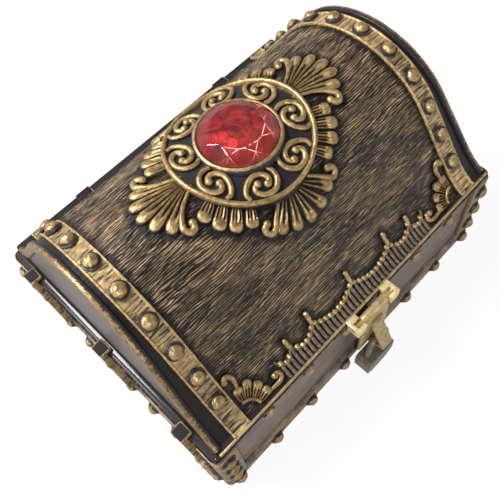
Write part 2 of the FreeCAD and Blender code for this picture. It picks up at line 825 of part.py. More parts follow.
def make_hasp():
    barrel_half = bracket_span / 2 - bracket_flange - clear_gap
    barrel = (-barrel_half, barrel_half)
    half_width = hasp_width / 2
    plate_y = (hasp_front, hasp_back)
    neck = block(barrel, plate_y, (hasp_z - hasp_neck, hasp_z))
    plate = block((-half_width, half_width), plate_y, (hasp_foot, hasp_z - hasp_neck))
    hasp = joined([rod_x(hasp_barrel_radius, barrel, hasp_y, hasp_z), neck, plate])
    hasp = hasp.cut(rod_x(hasp_pin_radius + turn_gap, barrel, hasp_y, hasp_z))
    seat = hasp_rivet_seat()
    shank_length = loop_sheet + hasp_thickness
    inward = Vector(0, 1, 0)
    hole = Part.makeCylinder(loop_rivet_radius + seat_gap, shank_length, seat, inward)
    save("hasp_plate", hasp.cut(hole))
    shank = Part.makeCylinder(loop_rivet_radius, shank_length, seat, inward)
    head = Part.makeCylinder(loop_rivet_radius + loop_rivet_head, loop_rivet_head, seat, inward * -1)
    save("loop_rivet", joined([shank, head]))
    save("hasp_loop", make_loop().cut(hole))


# A strap from the plate, out and down to a bend, and back to the plate
def make_loop():
    side = Vector(-loop_width / 2, 0, 0)
    sweep = Vector(loop_width, 0, 0)
    corners = [point + side for point in (loop_head, loop_bend, loop_foot, loop_head)]
    inner = Part.Face(Part.makePolygon(corners))
    outer = inner.makeOffset2D(loop_sheet, join=2)
    strap = outer.extrude(sweep).cut(inner.extrude(sweep))
    behind = block((-box_length, box_length), (hasp_front, 0), (0, lid_top))
    width = (-loop_width / 2, loop_width / 2)
    tab = block(width, (hasp_front - loop_sheet, hasp_front), (loop_head.z, loop_head.z + loop_tab))
    return joined([strap.cut(behind), tab])


def shackle_legs():
    half = shackle_spread / 2
    return {"long": (-half, padlock_bottom + long_leg_floor), "short": (half, padlock_top - short_leg_seat)}


def make_shackle():
    legs = shackle_legs()
    left, long_end = legs["long"]
    right, short_end = legs["short"]
    bend = shackle_bend
    low = shackle_z - bend

    def point(x, z):
        return Vector(x, shackle_y, z)

    diagonal = bend * math.sqrt(0.5)
    left_middle = point(left + bend - diagonal, low + diagonal)
    right_middle = point(right - bend + diagonal, low + diagonal)
    path = Part.Wire([
        Part.LineSegment(point(left, long_end), point(left, low)).toShape(),
        Part.Arc(point(left, low), left_middle, point(left + bend, shackle_z)).toShape(),
        Part.LineSegment(point(left + bend, shackle_z), point(right - bend, shackle_z)).toShape(),
        Part.Arc(point(right - bend, shackle_z), right_middle, point(right, low)).toShape(),
        Part.LineSegment(point(right, low), point(right, short_end)).toShape(),
    ])
    section = Part.Wire(Part.Circle(point(left, long_end), Vector(0, 0, 1), wire_radius).toShape())
    save("padlock_shackle", path.makePipeShell([section], True, False))


def make_padlock():
    half = padlock_width / 2
    front = shackle_y - padlock_depth / 2
    top_cut = padlock_top_chamfer
    bottom_cut = padlock_bottom_chamfer
    outline = [
        (-half, padlock_bottom + bottom_cut),
        (-half + bottom_cut, padlock_bottom),
        (half - bottom_cut, padlock_bottom),
        (half, padlock_bottom + bottom_cut),
        (half, padlock_top - top_cut),
        (half - top_cut, padlock_top),
        (-half + top_cut, padlock_top),
        (-half, padlock_top - top_cut),
    ]
    case = prism([Vector(x, front, z) for x, z in outline], Vector(0, padlock_depth, 0))
    for x, end in shackle_legs().values():
        depth = padlock_top - end + seat_gap
        mouth = Vector(x, shackle_y, padlock_top)
        case = case.cut(Part.makeCylinder(wire_radius + turn_gap, depth, mouth, Vector(0, 0, -1)))
    rivets = []
    for x in (-half + bottom_cut + padlock_rivet_radius, half - bottom_cut - padlock_rivet_radius):
        seat = Vector(x / 2, front, padlock_bottom + padlock_rivet_rise)
        along = Vector(0, 1, 0)
        rivets.append(Part.makeCylinder(padlock_rivet_radius, padlock_depth, seat, along))
        case = case.cut(Part.makeCylinder(padlock_rivet_radius + seat_gap, padlock_depth, seat, along))
    front_half = block((-half, half), (front, shackle_y), (padlock_bottom, padlock_top))
    save("padlock_front_shell", case.common(front_half))
    save("padlock_back_shell", case.cut(front_half))
    save("padlock_rivets", *rivets)


def make_keeper():
    height = (keeper_bottom, keeper_bottom + keeper_height)
    width = (-keeper_width / 2, keeper_width / 2)
    save("hasp_keeper", block(width, (hasp_back + clear_gap, -tub_half_depth), height))


make_base()
make_corner_straps()
make_end_straps()
make_base_studs()
make_keeper()
make_lid_shell()
make_lid_ends()
make_bands()
make_medallion()
make_shells()
make_cresting()
make_fans()
make_hinges()
make_brackets()
make_hasp()
make_shackle()
make_padlock()
print("hinge", round(hinge_y, 3), round(hinge_z, 3), "hasp", round(hasp_y, 3), round(hasp_z, 3))
print("shackle", round(shackle_y, 3), round(shackle_z, 3), "lid top", round(lid_top, 3))
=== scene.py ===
import math

import bpy
import numpy
from mathutils import Matrix, Vector, kdtree, noise


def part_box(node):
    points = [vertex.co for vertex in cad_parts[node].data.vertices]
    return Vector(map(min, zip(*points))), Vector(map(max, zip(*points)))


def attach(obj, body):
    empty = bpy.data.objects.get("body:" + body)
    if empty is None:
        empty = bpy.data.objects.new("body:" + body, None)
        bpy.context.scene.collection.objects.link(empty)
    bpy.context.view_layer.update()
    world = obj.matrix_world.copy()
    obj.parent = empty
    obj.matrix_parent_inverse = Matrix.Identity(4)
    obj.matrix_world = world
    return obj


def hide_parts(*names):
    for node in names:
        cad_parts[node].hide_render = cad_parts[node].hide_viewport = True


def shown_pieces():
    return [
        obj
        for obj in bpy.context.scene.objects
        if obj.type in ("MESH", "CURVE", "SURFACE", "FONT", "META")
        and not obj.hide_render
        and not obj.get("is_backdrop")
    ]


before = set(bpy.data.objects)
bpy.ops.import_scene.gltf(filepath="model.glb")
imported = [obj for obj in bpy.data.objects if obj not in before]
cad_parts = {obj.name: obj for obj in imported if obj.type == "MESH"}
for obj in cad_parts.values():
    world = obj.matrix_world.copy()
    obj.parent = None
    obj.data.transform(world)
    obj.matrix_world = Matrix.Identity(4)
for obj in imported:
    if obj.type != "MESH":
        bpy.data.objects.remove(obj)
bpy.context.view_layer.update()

mm = 0.001
seat = 0.05 * mm  # what lies on a surface starts this far above it
weld = 0.002 * mm  # points nearer than this become one
upright = 0.5  # faces whose normal rises less than this stand upright
for spare in ("Cube", "Light", "Camera"):  # a new file's own objects
    if spare in bpy.data.objects:
        bpy.data.objects.remove(bpy.data.objects[spare])
print("frame loaded, nodes:", len(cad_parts))


# small tools
def pick(*objs):
    bpy.ops.object.select_all(action="DESELECT")
    for obj in objs:
        obj.select_set(True)
    bpy.context.view_layer.objects.active = objs[0]


def edit(obj):  # into edit mode, with everything selected
    pick(obj)
    bpy.ops.object.mode_set(mode="EDIT")
    bpy.ops.mesh.select_all(action="SELECT")


def leave():
    bpy.ops.object.mode_set(mode="OBJECT")


def linked(obj):
    bpy.context.scene.collection.objects.link(obj)
    return obj


def modify(obj, kind, **settings):
    pick(obj)
    step = obj.modifiers.new(kind.title(), kind)
    for name, value in settings.items():
        setattr(step, name, value)
    bpy.ops.object.modifier_apply(modifier=step.name)


def reshape(obj, rule):
    for vertex in obj.data.vertices:
        vertex.co = rule(vertex.co)
    obj.data.update()


def copyOf(obj):
    twin = obj.copy()
    twin.data = obj.data.copy()
    return linked(twin)


def merged(objs):
    pick(*objs)
    if len(objs) > 1:
        bpy.ops.object.join()
    return bpy.context.view_layer.objects.active


def settled():  # the new primitive, with its place in its mesh
    bpy.ops.object.transform_apply(location=True, rotation=True, scale=True)
    return bpy.context.object


def addGrid(along, across):
    bpy.ops.mesh.primitive_grid_add(x_subdivisions=along, y_subdivisions=across, size=1)
    return bpy.context.object


def addSphere(segments, rings, radius, place=(0, 0, 0)):
    bpy.ops.mesh.primitive_uv_sphere_add(segments=segments, ring_count=rings, radius=radius, location=place)
    return settled()


def addDrum(sides, radius, low, high):
    middle = (0, 0, (low + high) / 2)
    bpy.ops.mesh.primitive_cylinder_add(vertices=sides, radius=radius, depth=high - low, location=middle)
    return settled()


def closeUp(obj, fill=False):
    edit(obj)
    bpy.ops.mesh.remove_doubles(threshold=weld)
    if fill:
        bpy.ops.mesh.fill_holes(sides=0)
    bpy.ops.mesh.normals_make_consistent(inside=False)
    leave()


def faceUp(obj):  # turns the upper side of a sheet outwards
    obj.data.update()
    if obj.data.polygons[len(obj.data.polygons) // 2].normal.z < 0:
        obj.data.flip_normals()


def dress(obj, *materials):
    obj.data.materials.clear()
    for material in materials:
        obj.data.materials.append(material)


# "raised" says how far a point or face stands up, for the gold that only touches high spots
def keepRaised(obj, heights):
    layer = obj.data.attributes.get("raised") or obj.data.attributes.new("raised", "FLOAT", "POINT")
    layer.data.foreach_set("value", heights)


# marked as raised at its edges and, where rubbed, on its upright faces
def bevelMarked(obj, material, width, segments, angle, rubbed=0):
    dress(obj, material, material)  # the second place marks the faces that the bevel adds
    limit = math.radians(angle)
    modify(obj, "BEVEL", width=width, segments=segments, limit_method="ANGLE", angle_limit=limit, material=1)
    worn = [max(face.material_index, rubbed * (abs(face.normal.z) < upright)) for face in obj.data.polygons]
    obj.data.attributes.new("raised", "FLOAT", "FACE").data.foreach_set("value", worn)
    for face in obj.data.polygons:
        face.material_index = 0


def finishPiece(obj, name, body, slot, material, *nodes, angle=40):
    pick(obj)
    bpy.ops.object.shade_smooth_by_angle(angle=math.radians(angle))
    obj.name = name
    obj.data.name = name
    dress(obj, material)
    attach(obj, body)
    if nodes:
        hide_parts(*nodes)
    return obj


def lidTrim(obj, name, material, *nodes, angle=60):
    return finishPiece(obj, name, "lid", "bronze_trim", material, *nodes, angle=angle)


def flatSpot(radius, turn, z=0):
    return Vector((radius * math.cos(turn), radius * math.sin(turn), z))


def smooth(low, high, value):
    share = min(max((value - low) / (high - low), 0), 1)
    return share * share * (3 - 2 * share)


# finishes
def wire(tree, socket, term):  # term is a number, a colour or another node's output
    if isinstance(term, (int, float)):
        socket.default_value = term
    elif isinstance(term, tuple):
        socket.default_value = (*term, 1)
    else:
        tree.links.new(term, socket)


def wireAll(tree, sockets, terms):
    for name, term in terms.items():
        wire(tree, sockets[name], term)


def wireRow(tree, sockets, *terms):
    for socket, term in zip(sockets, terms):
        wire(tree, socket, term)


def calc(tree, kind, *terms, clamp=False):
    step = tree.nodes.new("ShaderNodeMath")
    step.operation = kind
    step.use_clamp = clamp
    wireRow(tree, step.inputs, *terms)
    return step.outputs[0]


def blendOf(tree, share, low, high, kind="RGBA"):
    step = tree.nodes.new("ShaderNodeMix")
    step.data_type = kind
    wireRow(tree, [socket for socket in step.inputs if socket.enabled], share, low, high)
    return next(socket for socket in step.outputs if socket.enabled)


def ranged(tree, value, ends, low, high):  # low at the first end, high at the second
    step = tree.nodes.new("ShaderNodeMapRange")
    wireRow(tree, step.inputs, value, *ends, low, high)
    return step.outputs["Result"]


def stored(tree, name):
    layer = tree.nodes.new("ShaderNodeAttribute")
    layer.attribute_name = name
    return layer.outputs


def scaled(tree, place, scale):
    mapping = tree.nodes.new("ShaderNodeMapping")
    mapping.inputs["Scale"].default_value = scale
    tree.links.new(place, mapping.inputs["Vector"])
    return mapping.outputs["Vector"]


def pattern(tree, kind, place, settings):
    texture = tree.nodes.new(kind)
    wireAll(tree, texture.inputs, {**settings, "Vector": place})
    return texture


def newMaterial(name):
    material = bpy.data.materials.new(name)
    material.use_nodes = True
    tree = material.node_tree
    place = tree.nodes.new("ShaderNodeTexCoord").outputs["Object"]
    return material, tree, tree.nodes["Principled BSDF"].inputs, place


brush = {
    "cloudRough": 0.6, "patchDetail": 2, "patchWander": 0.3, "stainGain": 4, "stainFrom": -1.7,
    "toneGain": 2.2, "toneFrom": -0.6, "toneRough": 0.08, "goldHeight": 0.5,
}


def paintOf(name, base, **changes):  # gold brushed over a dark ground
    look = {**base, **changes}
    material, tree, shader, place = newMaterial(name)
    if look.get("follows"):  # a stored grain direction, in millimetres
        place = stored(tree, look["follows"])["Vector"]

    def cloud(scale, detail, distortion):
        settings = {"Scale": 1, "Detail": detail, "Roughness": brush["cloudRough"], "Distortion": distortion}
        return pattern(tree, "ShaderNodeTexNoise", scaled(tree, place, scale), settings).outputs["Fac"]

    def grown(value, gain, start, clamp=False):
        return calc(tree, "MULTIPLY_ADD", value, gain, start, clamp=clamp)

    strand = cloud(look["strandScale"], look["strandDetail"], look["wander"])
    if look.get("grooves"):  # long wavering lines, mixed with the strands
        wave = pattern(tree, "ShaderNodeTexWave", scaled(tree, place, look["grooves"]), look["groovePath"])
        wave.bands_direction = "Y"
        strand = blendOf(tree, look["grooveShare"], strand, wave.outputs["Fac"], "FLOAT")
    patch = cloud(look["patchScale"], brush["patchDetail"], brush["patchWander"])
    mask = grown(strand, look["strand"], look["level"] - look["strand"] / 2 - look["patch"] / 2)
    mask = grown(patch, look["patch"], mask)
    stained = grown(patch, brush["stainGain"], brush["stainFrom"], clamp=True)
    if look.get("raised"):
        high = stored(tree, "raised")["Fac"]
        mask = grown(high, look["raised"], mask)
        if look.get("follows"):  # no stain where the gold was kept off
            # round the pieces on the wood this darkens the painted shade further
            stained = calc(tree, "MULTIPLY", stained, high)
    mask = grown(mask, look["contrast"], 0.5, clamp=True)
    tone = cloud(look["toneScale"], brush["patchDetail"], 0)
    tone = grown(tone, brush["toneGain"], brush["toneFrom"], clamp=True)
    gold = blendOf(tree, tone, look["goldDull"], look["goldBright"])
    ground = blendOf(tree, stained, look["ground"], look["stain"])
    rough = grown(mask, look["roughGold"] - look["roughGround"], look["roughGround"])
    bump = tree.nodes.new("ShaderNodeBump")
    wireAll(tree, bump.inputs, {
        "Strength": look["bump"], "Distance": look["bumpDepth"],
        "Height": grown(mask, brush["goldHeight"], strand),
    })
    wireAll(tree, shader, {
        "Base Color": blendOf(tree, mask, ground, gold), "Specular IOR Level": look["shine"],
        "Metallic": calc(tree, "MULTIPLY", mask, look["metal"]),
        "Roughness": grown(tone, brush["toneRough"], rough), "Coat Weight": look["coat"],
        "Coat Roughness": look["coatRough"], "Normal": bump.outputs["Normal"],
    })
    return material


charcoal = (0.017, 0.0158, 0.0165)
oldGold = (0.17, 0.105, 0.042)
paleGold = (0.46, 0.32, 0.15)
baseLook = {
    "strandScale": (150, 1700, 1700), "strandDetail": 3, "strand": 1, "wander": 0.4,
    "patchScale": (55, 80, 80), "patch": 0.5, "level": 0, "contrast": 3, "toneScale": (500, 800, 800),
    "ground": charcoal, "stain": charcoal, "goldDull": oldGold, "goldBright": paleGold, "metal": 0.6,
    "roughGround": 0.34, "roughGold": 0.33, "shine": 0.4, "coat": 0, "coatRough": 0.28, "bump": 0.5,
    "bumpDepth": 0.15 * mm,
}
woodPaint = paintOf(
    "brushedWood", baseLook, follows="grain", strandScale=(0.34, 4.6, 1), strandDetail=2, strand=5.2,
    grooves=(0.12, 1, 1), grooveShare=0.28, patchScale=(0.04, 0.11, 1), patch=1.4, toneScale=(0.07, 0.25, 1),
    groovePath={"Scale": 0.4, "Distortion": 7, "Detail": 2, "Detail Scale": 1.6, "Detail Roughness": 0.6},
    raised=0.8, level=-1.1, contrast=2, coat=0.1, shine=0.22, metal=0.25, goldDull=(0.085, 0.056, 0.03),
    goldBright=(0.5, 0.355, 0.185), ground=(0.008, 0.0065, 0.006), stain=(0.04, 0.027, 0.018),
    bumpDepth=0.2 * mm,
)
bandPaint = paintOf(
    "brushedBand", baseLook, strandScale=(170, 1500, 1500), strandDetail=2, strand=3.8, patch=1.4,
    raised=0.8, level=0.05, contrast=1.6, metal=0.4, goldDull=(0.225, 0.14, 0.056),
    goldBright=(0.6, 0.415, 0.195),
)
trimPaint = paintOf(
    "antiqueTrim", baseLook, strandScale=(1100, 1500, 1500), strand=1.9, raised=1.9, level=-1.05,
    contrast=1.5, bump=0.7, bumpDepth=0.25 * mm,
)
crestPaint = paintOf(
    "dullCresting", baseLook, strandScale=(900, 1500, 1500), strand=2.4, patch=0.8, raised=1.1,
    level=-0.85, contrast=1.2, bumpDepth=0.16 * mm, goldDull=(0.085, 0.062, 0.042),
    goldBright=(0.22, 0.165, 0.11), ground=(0.02, 0.0165, 0.015), metal=0.35,
)
ringPaint = paintOf(
    "rubbedRing", baseLook, strandScale=(1200, 1200, 1200), strand=1.8, patch=0.6, raised=1.7,
    level=-0.75, contrast=1.5, bump=0.7, bumpDepth=0.25 * mm,
)
studPaint = paintOf(
    "hammeredStud", baseLook, strandScale=(520, 520, 520), strand=2.6, patch=0.3, raised=1.7, level=-0.9,
    contrast=1.6, bump=0.8, bumpDepth=0.45 * mm,
)
lipPaint = paintOf(
    "brightLip", baseLook, strandScale=(500, 1200, 1200), strand=1.8, patch=0.6, raised=1.2, level=-0.1,
    contrast=1.5, goldDull=(0.26, 0.175, 0.075), goldBright=(0.52, 0.38, 0.19),
)
brownPaint = paintOf(
    "wornBrown", baseLook, strandScale=(420, 700, 700), strand=2.6, patchScale=(160, 200, 200), patch=1.8,
    raised=0.9, level=-0.35, contrast=0.9, ground=(0.075, 0.061, 0.053), stain=(0.17, 0.135, 0.11),
    goldDull=(0.15, 0.098, 0.05), goldBright=(0.36, 0.25, 0.125), metal=0.3, shine=0.25, roughGround=0.5,
)
edgePaint = paintOf(
    "wornEdges", baseLook, strandScale=(420, 700, 700), strand=2.4, patch=0.9, raised=1.6, level=-0.85,
    contrast=2, shine=0.1, roughGround=0.7, goldBright=(0.55, 0.4, 0.21),
)
hingePaint = paintOf(
    "darkHinge", baseLook, strandScale=(420, 700, 700), strand=1.4, patch=0.6, raised=0.3, level=-0.9,
    contrast=1.4, shine=0.08, roughGround=0.75,
)
ridgePaint = paintOf(
    "ridgeBead", baseLook, strandScale=(2200, 1300, 1300), strandDetail=2, strand=3.4, patch=0.9,
    raised=1.8, level=-1.3, contrast=1.9, shine=0.2, goldDull=(0.12, 0.077, 0.035),
    goldBright=(0.35, 0.235, 0.112),
)
ledgePaint = paintOf(
    "glossyLedge", baseLook, strandScale=(420, 900, 900), strand=2.2, patch=1.4, raised=0.75, level=-0.95,
    contrast=2, coat=0.55, coatRough=0.14, roughGround=0.6, shine=0.1, bump=0.15,
)
satinLook = {
    **baseLook, "strandScale": (260, 500, 700), "strand": 1.5, "patch": 1, "level": -0.1,
    "contrast": 0.9, "ground": (0.044, 0.036, 0.033), "goldDull": (0.095, 0.072, 0.058),
    "goldBright": (0.14, 0.106, 0.08), "metal": 0, "roughGround": 0.36, "roughGold": 0.42, "bump": 0.2,
    "bumpDepth": 0.04 * mm, "coat": 0.2, "shine": 0.6,
}
satinPaint = paintOf("satinPanel", satinLook)
wallPaint = paintOf(
    "stainedWall", satinLook, strandScale=(90, 90, 900), strand=2.4, patchScale=(60, 60, 160), patch=1.2,
    contrast=1, ground=(0.075, 0.06, 0.053), stain=(0.075, 0.06, 0.053), goldDull=(0.19, 0.14, 0.105),
    goldBright=(0.29, 0.21, 0.145), shine=0.25, coat=0.06, roughGround=0.5, roughGold=0.6,
)
groundPaint = paintOf(
    "darkGround", baseLook, strandScale=(900, 900, 900), strand=0.5, patch=0.3, level=-0.72, contrast=1.2,
    ground=(0.011, 0.0105, 0.012), metal=0.1, roughGround=0.3, bumpDepth=0.05 * mm, coat=0.2,
)
brassLook = {
    **baseLook, "contrast": 1.4, "roughGround": 0.4, "roughGold": 0.3, "bump": 0.25,
    "bumpDepth": 0.03 * mm,
}
brassPaint = paintOf(
    "pressedBrass", brassLook, strandScale=(500, 500, 1200), strand=1.4, patch=0.8, level=0.1,
    ground=(0.2, 0.13, 0.045), stain=(0.26, 0.18, 0.075), goldDull=(0.44, 0.31, 0.125),
    goldBright=(0.68, 0.54, 0.29), metal=0.75, roughGround=0.42,
)
brightBrass = paintOf(
    "paleBrass", brassLook, strandScale=(500, 500, 1200), patch=0.6, level=0.35, ground=(0.4, 0.28, 0.11),
    stain=(0.4, 0.28, 0.11), goldDull=(0.72, 0.56, 0.27), goldBright=(0.95, 0.8, 0.5),
)
dullPaint = paintOf(
    "dullBrass", brassLook, strandScale=(300, 300, 1200), strand=0.7, patch=0.6,
    ground=(0.07, 0.06, 0.04), stain=(0.1, 0.085, 0.052), goldDull=(0.19, 0.16, 0.1),
    goldBright=(0.31, 0.27, 0.18), roughGround=0.45, roughGold=0.36,
)
steelPaint = paintOf(
    "drawnSteel", brassLook, strandScale=(1200, 300, 300), strand=0.7, patch=0.4,
    ground=(0.3, 0.28, 0.25), goldDull=(0.42, 0.4, 0.36), goldBright=(0.5, 0.48, 0.44), metal=0.9,
    roughGold=0.32, bump=0.2, bumpDepth=0.02 * mm,
)


# swirled red, with a painted glow of light towards the front, painted shade towards the rim and painted
# highlights on the facet edges
def gemOf(name, base, **changes):
    look = {**base, **changes}
    material, tree, shader, place = newMaterial(name)
    settings = {"Scale": look["swirl"], "Detail": look["swirlDetail"], "Distortion": look["swirlWander"]}
    swirl = pattern(tree, "ShaderNodeTexNoise", place, settings).outputs["Fac"]
    split = tree.nodes.new("ShaderNodeSeparateXYZ")
    wire(tree, split.inputs[0], place)
    across = split.outputs["Y"]
    radius = tree.nodes.new("ShaderNodeVectorMath")
    radius.operation = "LENGTH"
    wire(tree, radius.inputs[0], scaled(tree, place, (1, 1, 0)))
    away = radius.outputs["Value"]
    color = blendOf(tree, ranged(tree, swirl, look["swirlRange"], 0, 1), look["deep"], look["bright"])
    # painted glow of light through the stone, growing towards the front
    color = blendOf(tree, ranged(tree, across, look["warmRange"], 0, look["warmShare"]), color, look["warm"])
    # painted shade, darkening the stone towards its rim
    color = blendOf(tree, ranged(tree, away, look["rimRange"], 0, look["rimShare"]), color, look["deep"])
    # the painted highlights on the facet edges come and go with the swirl, grow towards the front and fade
    # at the rim
    glint = stored(tree, "raised")["Fac"]
    for value, part, low, high in (
            (swirl, "glintRange", 0, 1), (across, "glintReach", 0, look["glintShare"]),
            (away, "glintRim", 1, look["paleLeft"])):
        glint = calc(tree, "MULTIPLY", glint, ranged(tree, value, look[part], low, high))
    wireAll(tree, shader, {
        "Base Color": blendOf(tree, glint, color, look["glintColour"]), "Roughness": look["rough"],
        "Transmission Weight": ranged(tree, glint, (0, 1), look["clear"], 0), "IOR": look["index"],
        "Metallic": look["metal"],
    })
    return material


stoneLook = {
    "swirlDetail": 3, "swirlWander": 2.5, "swirlRange": (0.36, 0.66), "warmShare": 0.75,
    "glintColour": (1, 0.8, 0.76), "glintRange": (0.34, 0.5), "glintReach": (-1 * mm, -6 * mm), "glintShare": 0.7,
    "glintRim": (9.5 * mm, 12 * mm), "paleLeft": 0.2, "index": 1.49,
}
# the stone and its foil each get a painted glow towards the front and painted shade towards the rim
rubyPaint = gemOf(
    "rubyGlass", stoneLook, deep=(0.64, 0.11, 0.12), bright=(0.9, 0.25, 0.25), warm=(0.9, 0.21, 0.14),
    warmRange=(0, -14 * mm), swirl=120, rough=0.02, clear=0.92, metal=0, rimRange=(6 * mm, 12.5 * mm),
    rimShare=0.5,
)
foilPaint = gemOf(
    "rubyFoil", stoneLook, deep=(0.1, 0.006, 0.01), bright=(0.85, 0.1, 0.1), warm=(0.9, 0.18, 0.05),
    warmRange=(0, -13 * mm), swirl=110, rough=0.25, clear=0, metal=0.35, rimRange=(5 * mm, 12.5 * mm),
    rimShare=0.6,
)
print("finishes made")

# the lid's curve
lid = {
    "crownRadius": 36.2 * mm, "crownAngle": math.radians(54), "flareRadius": 28 * mm,
    "flareTurn": math.radians(22), "wall": 2.5 * mm, "endLean": 3 * mm,
}
shellLow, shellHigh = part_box("lid_shell")
lidFloor = shellLow.z
lidTop = shellHigh.z
crownCenter = lidTop - lid["crownRadius"]
crownArc = lid["crownRadius"] * lid["crownAngle"]
flareArc = lid["flareRadius"] * lid["flareTurn"]
footAngle = lid["crownAngle"] - lid["flareTurn"]
flareWide = lid["flareRadius"] * (math.sin(lid["crownAngle"]) - math.sin(footAngle))
skirtWide = shellHigh.y - lid["crownRadius"] * math.sin(lid["crownAngle"]) - flareWide
skirtArc = skirtWide / math.cos(lid["crownAngle"])
lidArc = crownArc + skirtArc + flareArc  # from the crest to the foot
leanSlope = lid["endLean"] / (lidTop - lidFloor)


def lidPlace(x, run, height):  # run is the distance from the crest over the lid, negative to the front
    side = -1 if run < 0 else 1
    far = abs(run)
    angle = min(far, crownArc) / lid["crownRadius"]
    along = min(max(far - crownArc, 0), skirtArc)
    turned = max(far - crownArc - skirtArc, 0) / lid["flareRadius"]
    out = Vector((0, math.sin(angle), math.cos(angle)))
    down = Vector((0, math.cos(angle), -math.sin(angle)))
    spot = Vector((0, 0, crownCenter)) + out * lid["crownRadius"] + down * along
    if turned > 0:
        turned = min(turned, lid["flareTurn"])
        flareCenter = spot + out * lid["flareRadius"]
        out = Vector((0, math.sin(angle - turned), math.cos(angle - turned)))
        spot = flareCenter - out * lid["flareRadius"]
    if far > lidArc:  # level on the lip
        out = Vector((0, 0, 1))
        spot = spot + Vector((0, far - lidArc, 0))
    spot = spot + out * height
    return Vector((x, side * spot.y, spot.z))


def runAtHeight(z):  # front run at which the lid's surface has that height
    low, high = 0, lidArc
    for step in range(40):
        middle = (low + high) / 2
        if lidPlace(0, middle, 0).z > z:
            low = middle
        else:
            high = middle
    return -high


def wrapOn(place, obj):  # flat work, x along and y over the lid, onto a curve
    reshape(obj, lambda co: place(co.x, co.y, seat + co.z))
    closeUp(obj)


def raiseByHeight(obj, height):
    keepRaised(obj, [min(max(vertex.co.z / height, 0), 1) for vertex in obj.data.vertices])
    reshape(obj, lambda co: Vector((co.x, co.y, max(co.z, 0))))


# a closed section of (x, height) points, carried over the lid
def sweptOnLid(section, steps, side, lean, worn, past=0):
    count = len(section)
    obj = addGrid(count, steps)
    heights = []
    for vertex in obj.data.vertices:
        x, height = section[round((vertex.co.x + 0.5) * count) % count]
        spot = lidPlace(x, vertex.co.y * 2 * (lidArc + past), height)
        spot.x = side * (x - lean * leanSlope * (spot.z - lidFloor))
        heights.append(worn(x, height))
        vertex.co = spot
    keepRaised(obj, heights)
    closeUp(obj, fill=True)
    return obj


# uneven surface, from a texture laid along the piece
def roughen(obj, size, depth, stretch=(1, 1, 1), kind="CLOUDS"):
    texture = bpy.data.textures.new("unevenness", kind)
    texture.noise_scale = 1
    holder = linked(bpy.data.objects.new("unevennessPlace", None))
    holder.scale = [size * part for part in stretch]
    bpy.context.view_layer.update()
    modify(obj, "DISPLACE", texture=texture, texture_coords="OBJECT", texture_coords_object=holder,
           strength=depth, mid_level=0.5)
    bpy.data.objects.remove(holder)
    bpy.data.textures.remove(texture)


# bands and end beads of the lid
hands = ((-1, "left"), (1, "right"))
band = {
    "edge": 0.75 * mm, "edgeTop": 1 * mm, "shoulder": 0.8, "edgeFlat": (0.25, 0.75),
    "middleTop": 0.62 * mm, "middle": (0.02, 0.1, 0.2, 0.3, 0.4, 0.5), "steps": 260, "overLip": 1.5 * mm,
    "rough": (1 * mm, 0.12 * mm, (8, 1, 1)),
}
bandPieces = []
for side, word in hands:
    low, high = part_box("lid_band_" + word)
    inner, outer = sorted((abs(low.x), abs(high.x)))
    wide = outer - inner
    section = [(inner, seat), (outer, seat), (outer, band["edgeTop"] * band["shoulder"])]
    section += [(outer - band["edge"] * share, band["edgeTop"]) for share in band["edgeFlat"]]
    section += [(outer - band["edge"] - wide * share, band["middleTop"]) for share in band["middle"]]
    section += [(inner + band["edge"] + wide * share, band["middleTop"]) for share in band["middle"][2::-1]]
    section += [(inner + band["edge"] * share, band["edgeTop"]) for share in reversed(band["edgeFlat"])]
    section += [(inner, band["edgeTop"] * band["shoulder"])]
    worn = lambda x, height: smooth(band["middleTop"], band["edgeTop"], height)
    strap = sweptOnLid(section, band["steps"], side, 0, worn, past=band["overLip"])
    roughen(strap, *band["rough"])
    bandPieces.append(lidTrim(strap, "lidBand_" + word, bandPaint, "lid_band_" + word, angle=40))

bead = {
    "width": 2.5 * mm, "top": 1 * mm, "points": 28, "steps": 260, "square": 0.55, "worn": (0.85, 0.3),
    "rough": (1.1 * mm, 0.16 * mm, (2, 1, 1)),
}
for side, word in hands:
    outer = max(abs(corner.x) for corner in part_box("lid_end_ridge_" + word))
    middle = (bead["top"] - lid["wall"]) / 2
    half = (bead["top"] + lid["wall"]) / 2
    section = []
    for step in range(bead["points"]):
        turn = 2 * math.pi * step / bead["points"]
        acrossPart = math.copysign(abs(math.cos(turn)) ** bead["square"], math.cos(turn))
        upPart = math.copysign(abs(math.sin(turn)) ** bead["square"], math.sin(turn))
        section.append((outer - bead["width"] / 2 * (1 - acrossPart), middle + half * upPart))
    wornFrom, wornTo = [outer - bead["width"] * share for share in bead["worn"]]
    worn = lambda x, height: smooth(wornFrom, wornTo, x)
    arch = sweptOnLid(section, bead["steps"], side, 1, worn)
    roughen(arch, *bead["rough"])
    bandPieces.append(lidTrim(arch, "lidBead_" + word, ridgePaint, "lid_end_ridge_" + word, angle=40))
print("bands and beads made")

# nail heads
stud = {
    "radius": 2.55 * mm, "height": 2.3 * mm, "worn": (0.1, 0.75), "segments": 24, "rings": 14,
    "collar": 2.9 * mm, "collarHeight": 0.4 * mm, "collarEdge": 0.24 * mm, "rough": (1.3 * mm, 0.38 * mm),
    "flatness": 0.05 * mm,
}


def makeStud():
    head = addSphere(stud["segments"], stud["rings"], stud["radius"])
    reshape(head, lambda co: Vector((co.x, co.y, max(co.z, 0) * stud["height"] / stud["radius"])))
    keepRaised(head, [smooth(*stud["worn"], vertex.co.z / stud["height"]) for vertex in head.data.vertices])
    shadeWasher = addDrum(stud["segments"], stud["collar"], 0, stud["collarHeight"])
    modify(shadeWasher, "BEVEL", width=stud["collarEdge"], segments=2, limit_method="ANGLE")
    # the washer is painted dark all round: painted shade round the foot of each nail head, with its dark
    # recess
    keepRaised(shadeWasher, [0] * len(shadeWasher.data.vertices))
    return merged([head, shadeWasher])


